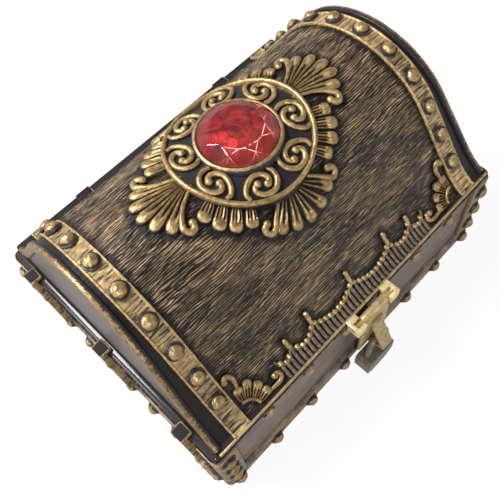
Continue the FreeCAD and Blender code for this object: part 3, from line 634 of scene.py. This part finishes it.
def studField(seats):  # seats are (place, outward direction)
    model = makeStud()
    heads = []
    for place, out in seats:
        head = copyOf(model)
        turn = out.to_track_quat("Z", "Y").to_matrix().to_4x4()
        head.data.transform(Matrix.Translation(place) @ turn)
        heads.append(head)
    bpy.data.objects.remove(model)
    field = merged(heads)
    roughen(field, *stud["rough"], kind="VORONOI")
    return field


def seatsOf(node):  # base middle and direction of each loose dome in a node
    seats = []
    shape = copyOf(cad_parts[node])
    shape.parent = None
    closeUp(shape)
    edit(shape)
    bpy.ops.mesh.separate(type="LOOSE")
    leave()
    for piece in bpy.context.selected_objects:
        flat = max(piece.data.polygons, key=lambda face: face.area)
        out = -flat.normal
        rim = [vertex.co.copy() for vertex in piece.data.vertices]
        rim = [spot for spot in rim if (spot - flat.center).dot(out) < stud["flatness"]]
        seats.append((sum(rim, Vector()) / len(rim), out))
        bpy.data.objects.remove(piece)
    return seats


for node, body in (("band_studs_left", "lid"), ("band_studs_right", "lid"), ("front_studs", "base"),
                   ("back_studs", "base"), ("end_studs", "base"), ("corner_studs", "base")):
    finishPiece(studField(seatsOf(node)), "nails_" + node, body, "bronze_trim", studPaint, node)
print("nail heads made")

# medallion
medal = {
    "curve": 52 * mm, "plate": 0.8 * mm, "ringRadius": 23.05 * mm, "ringHalf": 0.82 * mm,
    "ringTop": 1.4 * mm, "ringRound": 0.7, "ringSkirt": 1.5 * mm, "ringSegments": 200, "ringPoints": 24,
    "ringWorn": (-0.9, 0.5), "rough": (1.4 * mm, 0.16 * mm),
}


def medalPlace(x, run, height):  # the medallion is flatter than the lid
    turn = run / medal["curve"]
    far = medal["curve"] + height
    center = lidTop + medal["plate"] - medal["curve"]
    return Vector((x, far * math.sin(turn), center + far * math.cos(turn)))


def ringRule(co):  # rounded on top, with an outer side that hangs over the plate's edge
    up = co.z / medal["ringHalf"]
    level = medal["ringSkirt"] * up if math.hypot(co.x, co.y) > medal["ringRadius"] else 0
    if up > 0:
        level = medal["ringTop"] * up ** medal["ringRound"]
    return Vector((co.x, co.y, level))


def addRing(radius, half, segments, points, worn):  # worn from the first share of its height to the second
    bpy.ops.mesh.primitive_torus_add(major_radius=radius, minor_radius=half, major_segments=segments,
                                     minor_segments=points)
    obj = bpy.context.object
    keepRaised(obj, [smooth(*worn, vertex.co.z / half) for vertex in obj.data.vertices])
    return obj


ring = addRing(medal["ringRadius"], medal["ringHalf"], medal["ringSegments"], medal["ringPoints"],
               medal["ringWorn"])
reshape(ring, ringRule)
wrapOn(medalPlace, ring)
roughen(ring, *medal["rough"])
lidTrim(ring, "medallionRing", ringPaint, "medallion_ring", angle=40)

# round rods with ball ends, for all scrolls and curls
rodForm = {"resolution": 3, "ballSegments": 16, "ballRings": 10, "steps": 6, "taper": 0.35}


def addTube(points, radii):
    curve = bpy.data.curves.new("tube", "CURVE")
    curve.dimensions = "3D"
    curve.bevel_depth = 1
    curve.bevel_resolution = rodForm["resolution"]
    curve.use_fill_caps = True
    spline = curve.splines.new("POLY")
    spline.points.add(len(points) - 1)
    for knot, place, radius in zip(spline.points, points, radii):
        knot.co = (*place, 1)
        knot.radius = radius
    pick(linked(bpy.data.objects.new("tube", curve)))
    bpy.ops.object.convert(target="MESH")
    raiseByHeight(bpy.context.object, max(radii))
    return bpy.context.object


def addBall(place, radius):
    ball = addSphere(rodForm["ballSegments"], rodForm["ballRings"], radius, place)
    raiseByHeight(ball, radius)
    return ball


def curved(knots):  # smooth line through the knots
    line = []
    ends = [2 * knots[0] - knots[1]] + knots + [2 * knots[-1] - knots[-2]]
    for before, start, end, after in zip(ends, ends[1:], ends[2:], ends[3:]):
        for step in range(rodForm["steps"]):
            t = step / rodForm["steps"]
            bend = 2 * before - 5 * start + 4 * end - after
            twist = 3 * start - before - 3 * end + after
            line.append(start + ((end - before) * t + bend * t * t + twist * t ** 3) / 2)
    return line + [knots[-1]]


def addCurl(knots, form):  # a rod that grows from its tail and ends in a ball
    line = curved(knots)
    share = [min(index / (rodForm["taper"] * len(line)), 1) for index in range(len(line))]
    rod = addTube(line, [form["tail"] + (form["thick"] - form["tail"]) * part for part in share])
    return [rod, addBall(line[-1], form["ball"])]


def laid(parts, place, name, material, *nodes):  # flat work, joined, wrapped on a curve and finished
    obj = merged(parts)
    wrapOn(place, obj)
    return lidTrim(obj, name, material, *nodes)


# each scroll is two commas, as places (along the ring, away from the stone) from its middle
scroll = {
    "count": 8, "middle": 18.1 * mm, "tail": 0.75 * mm, "thick": 0.95 * mm, "ball": 1.28 * mm,
    "lift": 0.35 * mm, "body": ((-4.2, -4), (-5.2, -2.2), (-4.7, 0.5), (-2.6, 2.8)),
    "hook": ((0.2, 3.25), (2.2, 2), (2.4, 0.4), (1.5, -0.35)),
}
rods = []
for step in range(scroll["count"]):
    turn = 2 * math.pi * (step + 0.5) / scroll["count"]
    hand = -1 if step % 2 else 1
    for half in (-1, 1):
        knots = []
        for sideways, out in scroll["body"] + scroll["hook"]:
            far = scroll["middle"] + half * out * mm
            around = turn + half * hand * sideways * mm / scroll["middle"]
            knots.append(flatSpot(far, around, scroll["lift"]))
        rods += addCurl(knots, scroll)
laid(rods, medalPlace, "medallionScrolls", trimPaint, "scroll_ornaments")

# rounded collar round the stone, its foot on the curved plate
collar = {
    "points": 24, "segments": 128, "rise": 1.25 * mm, "round": 0.6, "gap": 0.03 * mm, "fill": 0.97,
    "drawIn": 0.4, "worn": (0.3, 0.85),
}
gemLow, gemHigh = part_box("gemstone")
gemRadius = gemHigh.x
collarHalf = (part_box("gem_bezel")[1].x - gemRadius) / 2


def collarRule(co):
    foot = medalPlace(0, math.asin(co.y / medal["curve"]) * medal["curve"], seat).z
    across = math.hypot(co.x, co.y)
    up = co.z / collarHalf
    fill = collar["fill"] - collar["drawIn"] * max(up, 0)
    squeeze = (gemRadius + collar["gap"] + fill * (across - gemRadius)) / across
    level = gemLow.z + collar["rise"] * up ** collar["round"] if up > 0 else foot
    return Vector((co.x * squeeze, co.y * squeeze, level))


bezel = addRing(gemRadius + collarHalf, collarHalf, collar["segments"], collar["points"], collar["worn"])
reshape(bezel, collarRule)
closeUp(bezel)
lidTrim(bezel, "gemCollar", ringPaint, "gem_bezel", angle=40)

# the stone is cut from a round blank, facet by facet
gem = {
    "blank": 96, "girdle": 1.3 * mm, "table": 8.2 * mm, "mains": 8, "mainTilt": math.radians(34.7),
    "girdleTilt": math.radians(41), "girdleRise": 0.05 * mm, "starTilt": math.radians(21),
    "starReach": 0.98, "turned": math.radians(9), "edge": 0.13 * mm, "edgeAngle": 4, "sharp": 3,
}
foil = {"sides": 8, "wide": 0.96, "narrow": 0.3, "depth": 1.7 * mm, "rise": 0.95 * mm}
stone = addDrum(gem["blank"], gemRadius, gemLow.z, gemHigh.z)


def cutFacet(turn, tilt, radius, z):
    spoke = flatSpot(1, turn + gem["turned"])
    bpy.ops.mesh.select_all(action="SELECT")
    bpy.ops.mesh.bisect(plane_co=spoke * radius + Vector((0, 0, z)), plane_no=spoke * math.sin(tilt)
                        + Vector((0, 0, math.cos(tilt))), use_fill=True, clear_outer=True)


edit(stone)
girdleTop = gemLow.z + gem["girdle"]
eighth = 2 * math.pi / gem["mains"]
for step in range(gem["mains"]):
    cutFacet(eighth * step, gem["mainTilt"], gemRadius, girdleTop)
for step in range(2 * gem["mains"]):
    cutFacet(eighth / 2 * (step + 0.5), gem["girdleTilt"], gemRadius, girdleTop + gem["girdleRise"])
for step in range(gem["mains"]):
    cutFacet(eighth * (step + 0.5), gem["starTilt"], gem["table"] * gem["starReach"], gemHigh.z)
leave()
# the bevel faces on the facet edges carry the painted highlights
bevelMarked(stone, rubyPaint, gem["edge"], 1, gem["edgeAngle"])
finishPiece(stone, "gemStone", "lid", "ruby", rubyPaint, "gemstone", angle=gem["sharp"])
bpy.ops.mesh.primitive_cone_add(vertices=foil["sides"], radius1=gemRadius * foil["wide"],
                                radius2=gemRadius * foil["narrow"], depth=foil["depth"],
                                location=(0, 0, gemLow.z + foil["rise"]))
finishPiece(settled(), "gemFoil", "lid", "ruby", foilPaint, angle=gem["sharp"])
print("medallion made")

# shells and petals
lobe = {
    "segments": 40, "rings": 22, "rootLow": 0.6, "depth": 0.8, "round": 0.6, "fade": 0.25,
    "worn": (0.15, 0.8),
}


def addLobe(root, tip, form):  # a drop with flutes from its root, or none
    obj = addSphere(lobe["segments"], lobe["rings"], 1)
    end = form["fluteEnd"]
    along = tip - root
    across = Vector((-along.y, along.x, 0)).normalized()
    raised = []
    for vertex in obj.data.vertices:
        share = (vertex.co.z + 1) / 2
        girth = math.hypot(vertex.co.x, vertex.co.y)
        side = vertex.co.x / girth if girth > weld else 0
        dome = max(vertex.co.y / girth, 0) ** lobe["round"] if girth > weld else 0
        body = math.sqrt(max(1 - vertex.co.z ** 4, 0))
        ridge = 0.5 - 0.5 * math.cos(math.pi * (form["flutes"] + 1) * (side + 1))
        fluted = lobe["depth"] * (1 - smooth(end - lobe["fade"], end, share)) if form["flutes"] else 0
        stand = dome * body * (1 - (1 - ridge) * fluted)
        wide = (form["rootWide"] + (form["tipWide"] - form["rootWide"]) * share) * body
        raised.append(smooth(*lobe["worn"], stand))
        level = form["top"] * stand * (lobe["rootLow"] + (1 - lobe["rootLow"]) * share)
        vertex.co = root + along * share + across * (side * wide) + Vector((0, 0, level))
    keepRaised(obj, raised)
    return obj


shell = {
    "hub": 19.5 * mm, "start": 22.6 * mm, "rootWide": 0.7 * mm, "top": 1.8 * mm, "flutes": 1,
    "fluteEnd": 0.85, "lift": 0.55 * mm, "tail": 0.4 * mm, "thick": 1.1 * mm, "ball": 1.25 * mm,
}
sideShell = {
    **shell, "leans": (-28, -13.7, 0, 13.7, 28), "lengths": (19.4, 20.8, 21.2, 20.8, 19.4),
    "tipWide": 2.45 * mm,
    "curl": ((2, 2.2), (9, 5.8), (12.6, 9.6), (13, 11.4), (12, 12.7), (10.5, 12.3), (9.9, 10.9)),
}
frontShell = {
    **shell, "leans": (-45, -23, 0, 23, 45), "lengths": (16.4, 15.9, 15.9, 15.9, 16.4),
    "tipWide": 2.65 * mm,
    "curl": ((1.6, 4.2), (5.5, 8.8), (8.8, 12.3), (8.9, 13.9), (7.6, 14.9), (6.3, 14.4), (5.8, 13.2)),
}


def fromRing(hub, heading):  # where a line from the hub comes out under the ring
    spoke = flatSpot(1, heading)
    along = hub.dot(spoke)
    return hub + spoke * (math.sqrt(along ** 2 - hub.length_squared + shell["start"] ** 2) - along)


lobes = []
for quarter in range(4):
    turn = quarter * math.pi / 2
    form = frontShell if quarter % 2 else sideShell
    hub = flatSpot(shell["hub"], turn)
    for lean, length in zip(form["leans"], form["lengths"]):
        heading = turn + math.radians(lean)
        lobes.append(addLobe(fromRing(hub, heading), hub + flatSpot(length * mm, heading), form))
    for hand in (-1, 1):  # hooked rib beside the outer lobe, as places (out, aside) from the hub
        ahead = flatSpot(mm, turn)
        aside = flatSpot(hand * mm, turn + math.pi / 2)
        lift = Vector((0, 0, form["lift"]))
        lobes += addCurl([hub + ahead * out + aside * off + lift for out, off in form["curl"]], form)
shells = laid(lobes, lidPlace, "shellOrnaments", trimPaint, "shell_ornaments")

petal = {
    "angles": (24.6, 33.9, 43.5, 53.4), "reaches": (30.4, 31.2, 30.8, 29.4), "root": 22.6 * mm,
    "rootWide": 1.7 * mm, "tipWide": 2.4 * mm, "top": 1.8 * mm, "flutes": 3, "fluteEnd": 0.72,
}
lobes = []
for mirrorX, mirrorY in ((1, 1), (-1, 1), (-1, -1), (1, -1)):
    for angle, reach in zip(petal["angles"], petal["reaches"]):
        spoke = flatSpot(1, math.radians(angle)) * Vector((mirrorX, mirrorY, 1))
        lobes.append(addLobe(spoke * petal["root"], spoke * reach * mm, petal))
petals = laid(lobes, lidPlace, "petalOrnaments", trimPaint, "petal_ornaments")
print("shells and petals made")

# cresting and fans on the front
crest = {
    "half": 36.4 * mm, "height": 4.3 * mm, "sag": 2.5 * mm, "fullness": 0.75, "pitch": 1.9 * mm,
    "rootWide": 0.74 * mm, "tipWide": 0.74 * mm, "top": 1.15 * mm, "flutes": 0, "fluteEnd": 0,
    "head": 1 * mm, "headPast": 0.2 * mm, "headRise": 0.15 * mm, "rail": 0.42 * mm,
    "railLift": 0.5 * mm, "railSteps": 24, "overLip": 1.9 * mm, "rough": (0.8 * mm, 0.42 * mm),
}
finial = {
    "places": {-29.7: 6.2, -19: 7.5, 0: 7.5, 19: 7.5, 29.7: 6.2}, "neck": 0.7 * mm,
    "belly": 0.8 * mm, "bellyFrom": 0.6, "ball": 0.84 * mm, "sink": 0.2 * mm, "lift": 0.6 * mm,
    "steps": 16,
}
crestStops = [-crest["half"]] + [x * mm for x in finial["places"]] + [crest["half"]]


def crestLine(x):  # height of the scalloped edge over the lid's floor
    for left, right in zip(crestStops, crestStops[1:]):
        if left <= x <= right:
            share = 2 * (x - left) / (right - left) - 1
            return crest["height"] - crest["sag"] * max(1 - share * share, 0) ** crest["fullness"]
    return crest["height"]


def frontSpot(x, height, lift=0):
    return Vector((x, runAtHeight(lidFloor + height), lift))


ribs = []
heads = []
count = int(2 * crest["half"] / crest["pitch"])
for step in range(count):
    x = crest["pitch"] * (step - (count - 1) / 2)
    foot = Vector((x, -lidArc - crest["overLip"], 0))
    head = frontSpot(x, crestLine(x) + crest["headPast"])
    ribs.append(addLobe(foot, head, crest))
    heads.append(addBall(head + Vector((0, 0, crest["headRise"])), crest["head"]))
for left, right in zip(crestStops, crestStops[1:]):
    line = [left + (right - left) * step / crest["railSteps"] for step in range(crest["railSteps"] + 1)]
    line = [frontSpot(x, crestLine(x), crest["railLift"]) for x in line]
    ribs.append(addTube(line, [crest["rail"]] * len(line)))
for x, height in finial["places"].items():
    bottom = crest["height"] - finial["sink"]
    line = []
    radii = []
    for step in range(finial["steps"] + 1):
        share = step / finial["steps"]
        line.append(frontSpot(x * mm, bottom + (height * mm - bottom) * share, finial["lift"]))
        swell = smooth(0, finial["bellyFrom"], share)
        radii.append(finial["neck"] + (finial["belly"] - finial["neck"]) * swell)
    heads += [addTube(line, radii), addBall(line[-1], finial["ball"])]
cresting = laid(ribs, lidPlace, "frontCresting", crestPaint, "front_cresting")
crestHeads = merged(heads)
roughen(crestHeads, *crest["rough"])
laid([crestHeads], lidPlace, "crestHeads", lipPaint)

# a quarter fan in each front corner; bar and curls are places (towards the middle, up the lid) from its hub
fan = {
    "hubX": 52.2 * mm, "angles": (11, 31, 54, 77), "reaches": (10.8, 11.8, 11, 10.4),
    "rootWide": 1.12 * mm, "tipWide": 2.1 * mm, "top": 1.7 * mm, "flutes": 2, "fluteEnd": 0.7,
    "bar": 4.9 * mm, "barThick": 0.55 * mm, "barLift": 0.6 * mm, "barTurns": range(4, 87, 6),
    "lift": 0.5 * mm, "tail": 0.45 * mm, "thick": 0.85 * mm, "ball": 1.15 * mm,
    "curlUp": ((1.2, 8), (2.4, 11), (2.8, 13.8), (1.9, 15.6), (0.6, 15.9), (0.1, 14.9)),
    "curlIn": ((9, 1), (11.2, 0.9), (13.6, 0.9), (15.1, 2), (14.6, 3.5), (13.4, 3.4)),
}
fans = []
for side, word in hands:
    lobes = []

    def fanSpot(inward, up, height=0):
        return Vector((side * (fan["hubX"] - inward), up - lidArc, height))

    def fanTurn(degrees, reach, height=0):
        turn = math.radians(degrees)
        return fanSpot(math.sin(turn) * reach, math.cos(turn) * reach, height)

    for angle, reach in zip(fan["angles"], fan["reaches"]):
        lobes.append(addLobe(fanTurn(angle, fan["bar"]), fanTurn(angle, reach * mm), fan))
    bar = [fanTurn(degrees, fan["bar"], fan["barLift"]) for degrees in fan["barTurns"]]
    lobes.append(addTube(bar, [fan["barThick"]] * len(bar)))
    for knots in (fan["curlUp"], fan["curlIn"]):
        lobes += addCurl([fanSpot(inward * mm, up * mm, fan["lift"]) for inward, up in knots], fan)
    fans.append(laid(lobes, lidPlace, "cornerFan_" + word, trimPaint, "corner_fan_" + word))

# bright half-round bead along the lid's front lip
lip = {"radius": 0.5 * mm, "steps": 90, "rough": (1.2 * mm, 0.1 * mm)}
rimLow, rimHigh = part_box("lid_rim")
lipEnd = rimHigh.x - lip["radius"]
line = [Vector((lipEnd * (2 * step / lip["steps"] - 1), 0, 0)) for step in range(lip["steps"] + 1)]
lipBead = addTube(line, [lip["radius"]] * len(line))
lipMiddle = Vector((0, rimLow.y + lip["radius"], lidFloor + seat))
reshape(lipBead, lambda co: co + lipMiddle)
closeUp(lipBead, fill=True)
roughen(lipBead, *lip["rough"])
reshape(lipBead, lambda co: Vector((co.x, max(co.y, rimLow.y), co.z)))
lidTrim(lipBead, "lidLipBead", lipPaint)
print("cresting and fans made")

# wooden shell of the lid; its strokes are length, width, slice of the noise and weight
wood = {
    "along": 100, "across": 470, "depth": 0.34 * mm, "near": 0.9 * mm, "reach": 2.5 * mm,
    "sway": ((22, 11, 1), (7, 4, 0.3)),
    "strokes": ((7, 0.9, 7, 0.55), (3.6, 0.42, 3.6, 1), (13, 7, 3, 0.2)), "full": 0.6, "lowGold": 0.6,
    "endStand": 0.7, "endRaised": -0.7,
}
planks = addGrid(wood["along"], wood["across"])
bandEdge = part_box("lid_band_right")[1].x


def spots(obj):
    values = numpy.empty(len(obj.data.vertices) * 3)
    obj.data.vertices.foreach_get("co", values)
    return values.reshape(-1, 3)


# every second point of what lies on the wood, to keep the gold off round it: this paints a shade at the foot
# of each piece, with dark paint in the recess there
carried = [ring, shells, petals, cresting, crestHeads] + fans + bandPieces
around = numpy.concatenate([spots(obj)[::2] for obj in carried])
tree = kdtree.KDTree(len(around))
for index, spot in enumerate(around):
    tree.insert(spot, index)
tree.balance()
grain = planks.data.attributes.new("grain", "FLOAT_VECTOR", "POINT")
raised = []
for vertex in planks.data.vertices:
    run = vertex.co.y * 2 * lidArc
    spot = lidPlace(0, run, 0)
    x = vertex.co.x * 2 * (shellHigh.x - leanSlope * (spot.z - lidFloor))
    along, across = x / mm, run / mm
    for length, width, amount in wood["sway"]:
        across += amount * noise.noise(Vector((along / length, run / mm / width, length)))
    grain.data[vertex.index].vector = (along, across, 0)
    strokes = 0
    for length, width, level, weight in wood["strokes"]:
        strokes += weight * noise.noise(Vector((along / length, across / width, level)))
    stand = smooth(-wood["full"], wood["full"], strokes)
    if abs(x) > bandEdge:
        stand = wood["endStand"]
    vertex.co = lidPlace(x, run, wood["depth"] * (stand - 1))
    if abs(x) < bandEdge:
        # near the pieces on the wood the gold is kept off, as painted shade at their feet
        clear = smooth(wood["near"], wood["reach"], tree.find(vertex.co)[2])
        raised.append(clear * (wood["lowGold"] + (1 - wood["lowGold"]) * stand))
    else:
        raised.append(wood["endRaised"])
keepRaised(planks, raised)
faceUp(planks)
modify(planks, "SOLIDIFY", thickness=lid["wall"] - wood["depth"], offset=-1)
finishPiece(planks, "lidWood", "lid", "antique_wood", woodPaint, "lid_shell", angle=60)

# smooth lining inside the lid
lining = {"along": 20, "across": 90, "gap": 0.05 * mm, "thick": 0.3 * mm, "short": 0.4 * mm}
cover = addGrid(lining["along"], lining["across"])
for vertex in cover.data.vertices:
    run = vertex.co.y * 2 * lidArc
    spot = lidPlace(0, run, -lid["wall"] - lining["gap"])
    reach = shellHigh.x - lining["short"] - leanSlope * (spot.z - lidFloor)
    vertex.co = (vertex.co.x * 2 * reach, spot.y, max(spot.z, lidFloor))
faceUp(cover)
modify(cover, "SOLIDIFY", thickness=lining["thick"], offset=1)
closeUp(cover)
finishPiece(cover, "lidLining", "lid", "satin_panel", satinPaint, angle=60)
print("lid wood and lining made")

# base, hasp, padlock and hinges from the frame
soften = {"tolerance": 0.02 * mm, "cornerSegments": 5, "edgeSegments": 2, "flatAngle": 1, "edgeAngle": 40}


def roundCorners(obj, width):  # the outermost upright edges
    spots = [vertex.co for vertex in obj.data.vertices]
    farX = max(abs(spot.x) for spot in spots)
    farY = max(abs(spot.y) for spot in spots)
    far = [abs(abs(spot.x) - farX) + abs(abs(spot.y) - farY) < soften["tolerance"] for spot in spots]
    edit(obj)
    bpy.ops.mesh.select_mode(type="EDGE")
    bpy.ops.mesh.select_all(action="DESELECT")
    leave()
    for edge in obj.data.edges:
        edge.select = far[edge.vertices[0]] and far[edge.vertices[1]]
    bpy.ops.object.mode_set(mode="EDIT")
    bpy.ops.mesh.bevel(offset=width, segments=soften["cornerSegments"])
    bpy.ops.mesh.select_mode(type="VERT")
    leave()


def softened(nodes, width, corner=0, rubbed=0):
    copies = []
    for node in nodes:
        twin = copyOf(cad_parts[node])
        twin.parent = None
        for key in list(twin.keys()):
            del twin[key]
        closeUp(twin)
        edit(twin)
        bpy.ops.mesh.dissolve_limited(angle_limit=math.radians(soften["flatAngle"]))
        leave()
        if corner:
            roundCorners(twin, corner)
        bevelMarked(twin, edgePaint, width, soften["edgeSegments"], soften["edgeAngle"], rubbed)
        copies.append(twin)
    return merged(copies)


def pairOf(name):
    return [name + "_left", name + "_right"]


corners = pairOf("corner_strap_front") + pairOf("corner_strap_back")
endStraps = [strap + place for strap in pairOf("end_strap") for place in ("_front", "_middle", "_back")]
hardware = (  # ends with the width of worn edges, the radius of corners and the wear of upright faces
    ("baseRim", "base", "bronze_trim", ledgePaint, ["base_rim"], 0.9 * mm, 2.4 * mm, 1),
    ("basePlinth", "base", "bronze_trim", brownPaint, ["base_plinth"], 0.5 * mm, 2.4 * mm, 0.3),
    ("cornerStraps", "base", "bronze_trim", brownPaint, corners, 0.4 * mm, 1.8 * mm, 0.45),
    ("endStraps", "base", "bronze_trim", edgePaint, endStraps, 0.5 * mm, 0, 0.6),
    ("lidRim", "lid", "bronze_trim", edgePaint, ["lid_rim"], 0.4 * mm, 1.2 * mm),
    ("haspKeeper", "base", "bronze_trim", edgePaint, ["hasp_keeper"], 0.3 * mm),
    ("hingeLeaves", "base", "bronze_trim", edgePaint, pairOf("base_hinge_leaf"), 0.2 * mm),
    ("hingeLugs", "lid", "bronze_trim", hingePaint, pairOf("lid_hinge_lug"), 0.2 * mm),
    ("haspBrackets", "lid", "gold_brass", brightBrass, pairOf("hasp_bracket"), 0.2 * mm),
    ("haspPlate", "hasp", "gold_brass", brassPaint, ["hasp_plate"], 0.2 * mm),
    ("haspLoop", "hasp", "gold_brass", brassPaint, ["hasp_loop"], 0.2 * mm),
    ("padlockFront", "padlock", "dull_brass", dullPaint, ["padlock_front_shell"], 0.6 * mm),
    ("padlockBack", "padlock", "dull_brass", dullPaint, ["padlock_back_shell"], 0.6 * mm),
)
for name, body, slot, material, nodes, *wear in hardware:
    finishPiece(softened(nodes, *wear), name, body, slot, material, *nodes)

carriedOver = (
    (wallPaint, ["base_tub"]), (satinPaint, pairOf("lid_end_panel")), (groundPaint, ["medallion_plate"]),
    (steelPaint, pairOf("hinge_pin") + ["base_hinge_screws"]), (brassPaint, ["hasp_pin", "loop_rivet"]),
    (dullPaint, ["padlock_shackle", "padlock_rivets"]),
)
for material, nodes in carriedOver:
    for node in nodes:
        dress(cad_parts[node], material)
print("base and hardware made")

# floor, light and camera
studio = {
    "floor": 6, "paper": (0.9, 0.9, 0.9), "paperRough": 0.9, "floorSeen": 0.91, "floorMirrored": 0.55,
    "world": 0.4, "horizon": 0.9, "zenith": 0.12, "skyRange": (0, 0.75),
}
lamps = {  # place, size and power
    "topLamp": ((-0.28, 0.34, 0.62), 0.3, 10),
    "keyLamp": ((-0.42, -0.42, 0.45), 0.035, 2.2),
    "sideLamp": ((-0.7, 0.31, 0.24), 0.3, 2),
    "fillLamp": ((0.35, -0.75, 0.22), 0.5, 1),
}
photoView = {
    "sensor": 36, "lens": 43.57, "clip": (0.005, 20), "right": (0.6957, -0.7131, -0.0877),
    "back": (-0.2864, -0.3872, 0.8764), "place": (-0.0719, -0.0926, 0.2304),
}
bpy.ops.mesh.primitive_plane_add(size=studio["floor"], location=(0, 0, 0))
floor = bpy.context.object
floor.name = "studioFloor"
paper = bpy.data.materials.new("whitePaper")
paper.use_nodes = True
tree = paper.node_tree
diffuse = tree.nodes["Principled BSDF"]
wireAll(tree, diffuse.inputs, {"Base Color": studio["paper"], "Roughness": studio["paperRough"]})
rays = tree.nodes.new("ShaderNodeLightPath").outputs
glow = tree.nodes.new("ShaderNodeEmission")
strength = blendOf(tree, rays["Is Camera Ray"], studio["floorMirrored"], 1, "FLOAT")
wire(tree, glow.inputs["Strength"], strength)
mixer = tree.nodes.new("ShaderNodeMixShader")
share = blendOf(tree, rays["Is Camera Ray"], rays["Is Glossy Ray"], studio["floorSeen"], "FLOAT")
wireRow(tree, mixer.inputs, share, diffuse.outputs["BSDF"], glow.outputs["Emission"])
wire(tree, tree.nodes["Material Output"].inputs["Surface"], mixer.outputs["Shader"])
dress(floor, paper)
floor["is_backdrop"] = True

world = bpy.data.worlds.new("studioWorld")
bpy.context.scene.world = world
world.use_nodes = True
tree = world.node_tree
rays = tree.nodes.new("ShaderNodeLightPath").outputs
split = tree.nodes.new("ShaderNodeSeparateXYZ")
wire(tree, split.inputs[0], tree.nodes.new("ShaderNodeTexCoord").outputs["Generated"])
# reflections are bright at the horizon and dark overhead
mirrored = ranged(tree, split.outputs["Z"], studio["skyRange"], studio["horizon"], studio["zenith"])
strength = blendOf(tree, rays["Is Glossy Ray"], studio["world"], mirrored, "FLOAT")
strength = blendOf(tree, rays["Is Camera Ray"], strength, 1, "FLOAT")
wireAll(tree, tree.nodes["Background"].inputs, {"Color": (1, 1, 1), "Strength": strength})

for name, (place, size, power) in lamps.items():
    bpy.ops.object.light_add(type="AREA", location=place)
    lamp = bpy.context.object
    lamp.name = name
    lamp.data.size = size
    lamp.data.energy = power
    lamp.rotation_euler = (-Vector(place)).to_track_quat("-Z", "Y").to_euler()

camera = bpy.data.cameras.new("photoCamera")
camera.sensor_width = photoView["sensor"]
camera.lens = photoView["lens"]
camera.clip_start, camera.clip_end = photoView["clip"]
cameraObj = linked(bpy.data.objects.new("photoCamera", camera))
back = Vector(photoView["back"]).normalized()
up = back.cross(Vector(photoView["right"]).normalized()).normalized()
turn = Matrix((up.cross(back), up, back)).transposed().to_4x4()
cameraObj.matrix_world = Matrix.Translation(photoView["place"]) @ turn
bpy.context.scene.camera = cameraObj
bpy.context.scene.view_settings.view_transform = "Standard"

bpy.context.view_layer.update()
meshes = [piece.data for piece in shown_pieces() if piece.type == "MESH"]
print("scene ready, triangles:", sum(len(mesh.loop_triangles) or len(mesh.polygons) * 2 for mesh in meshes))
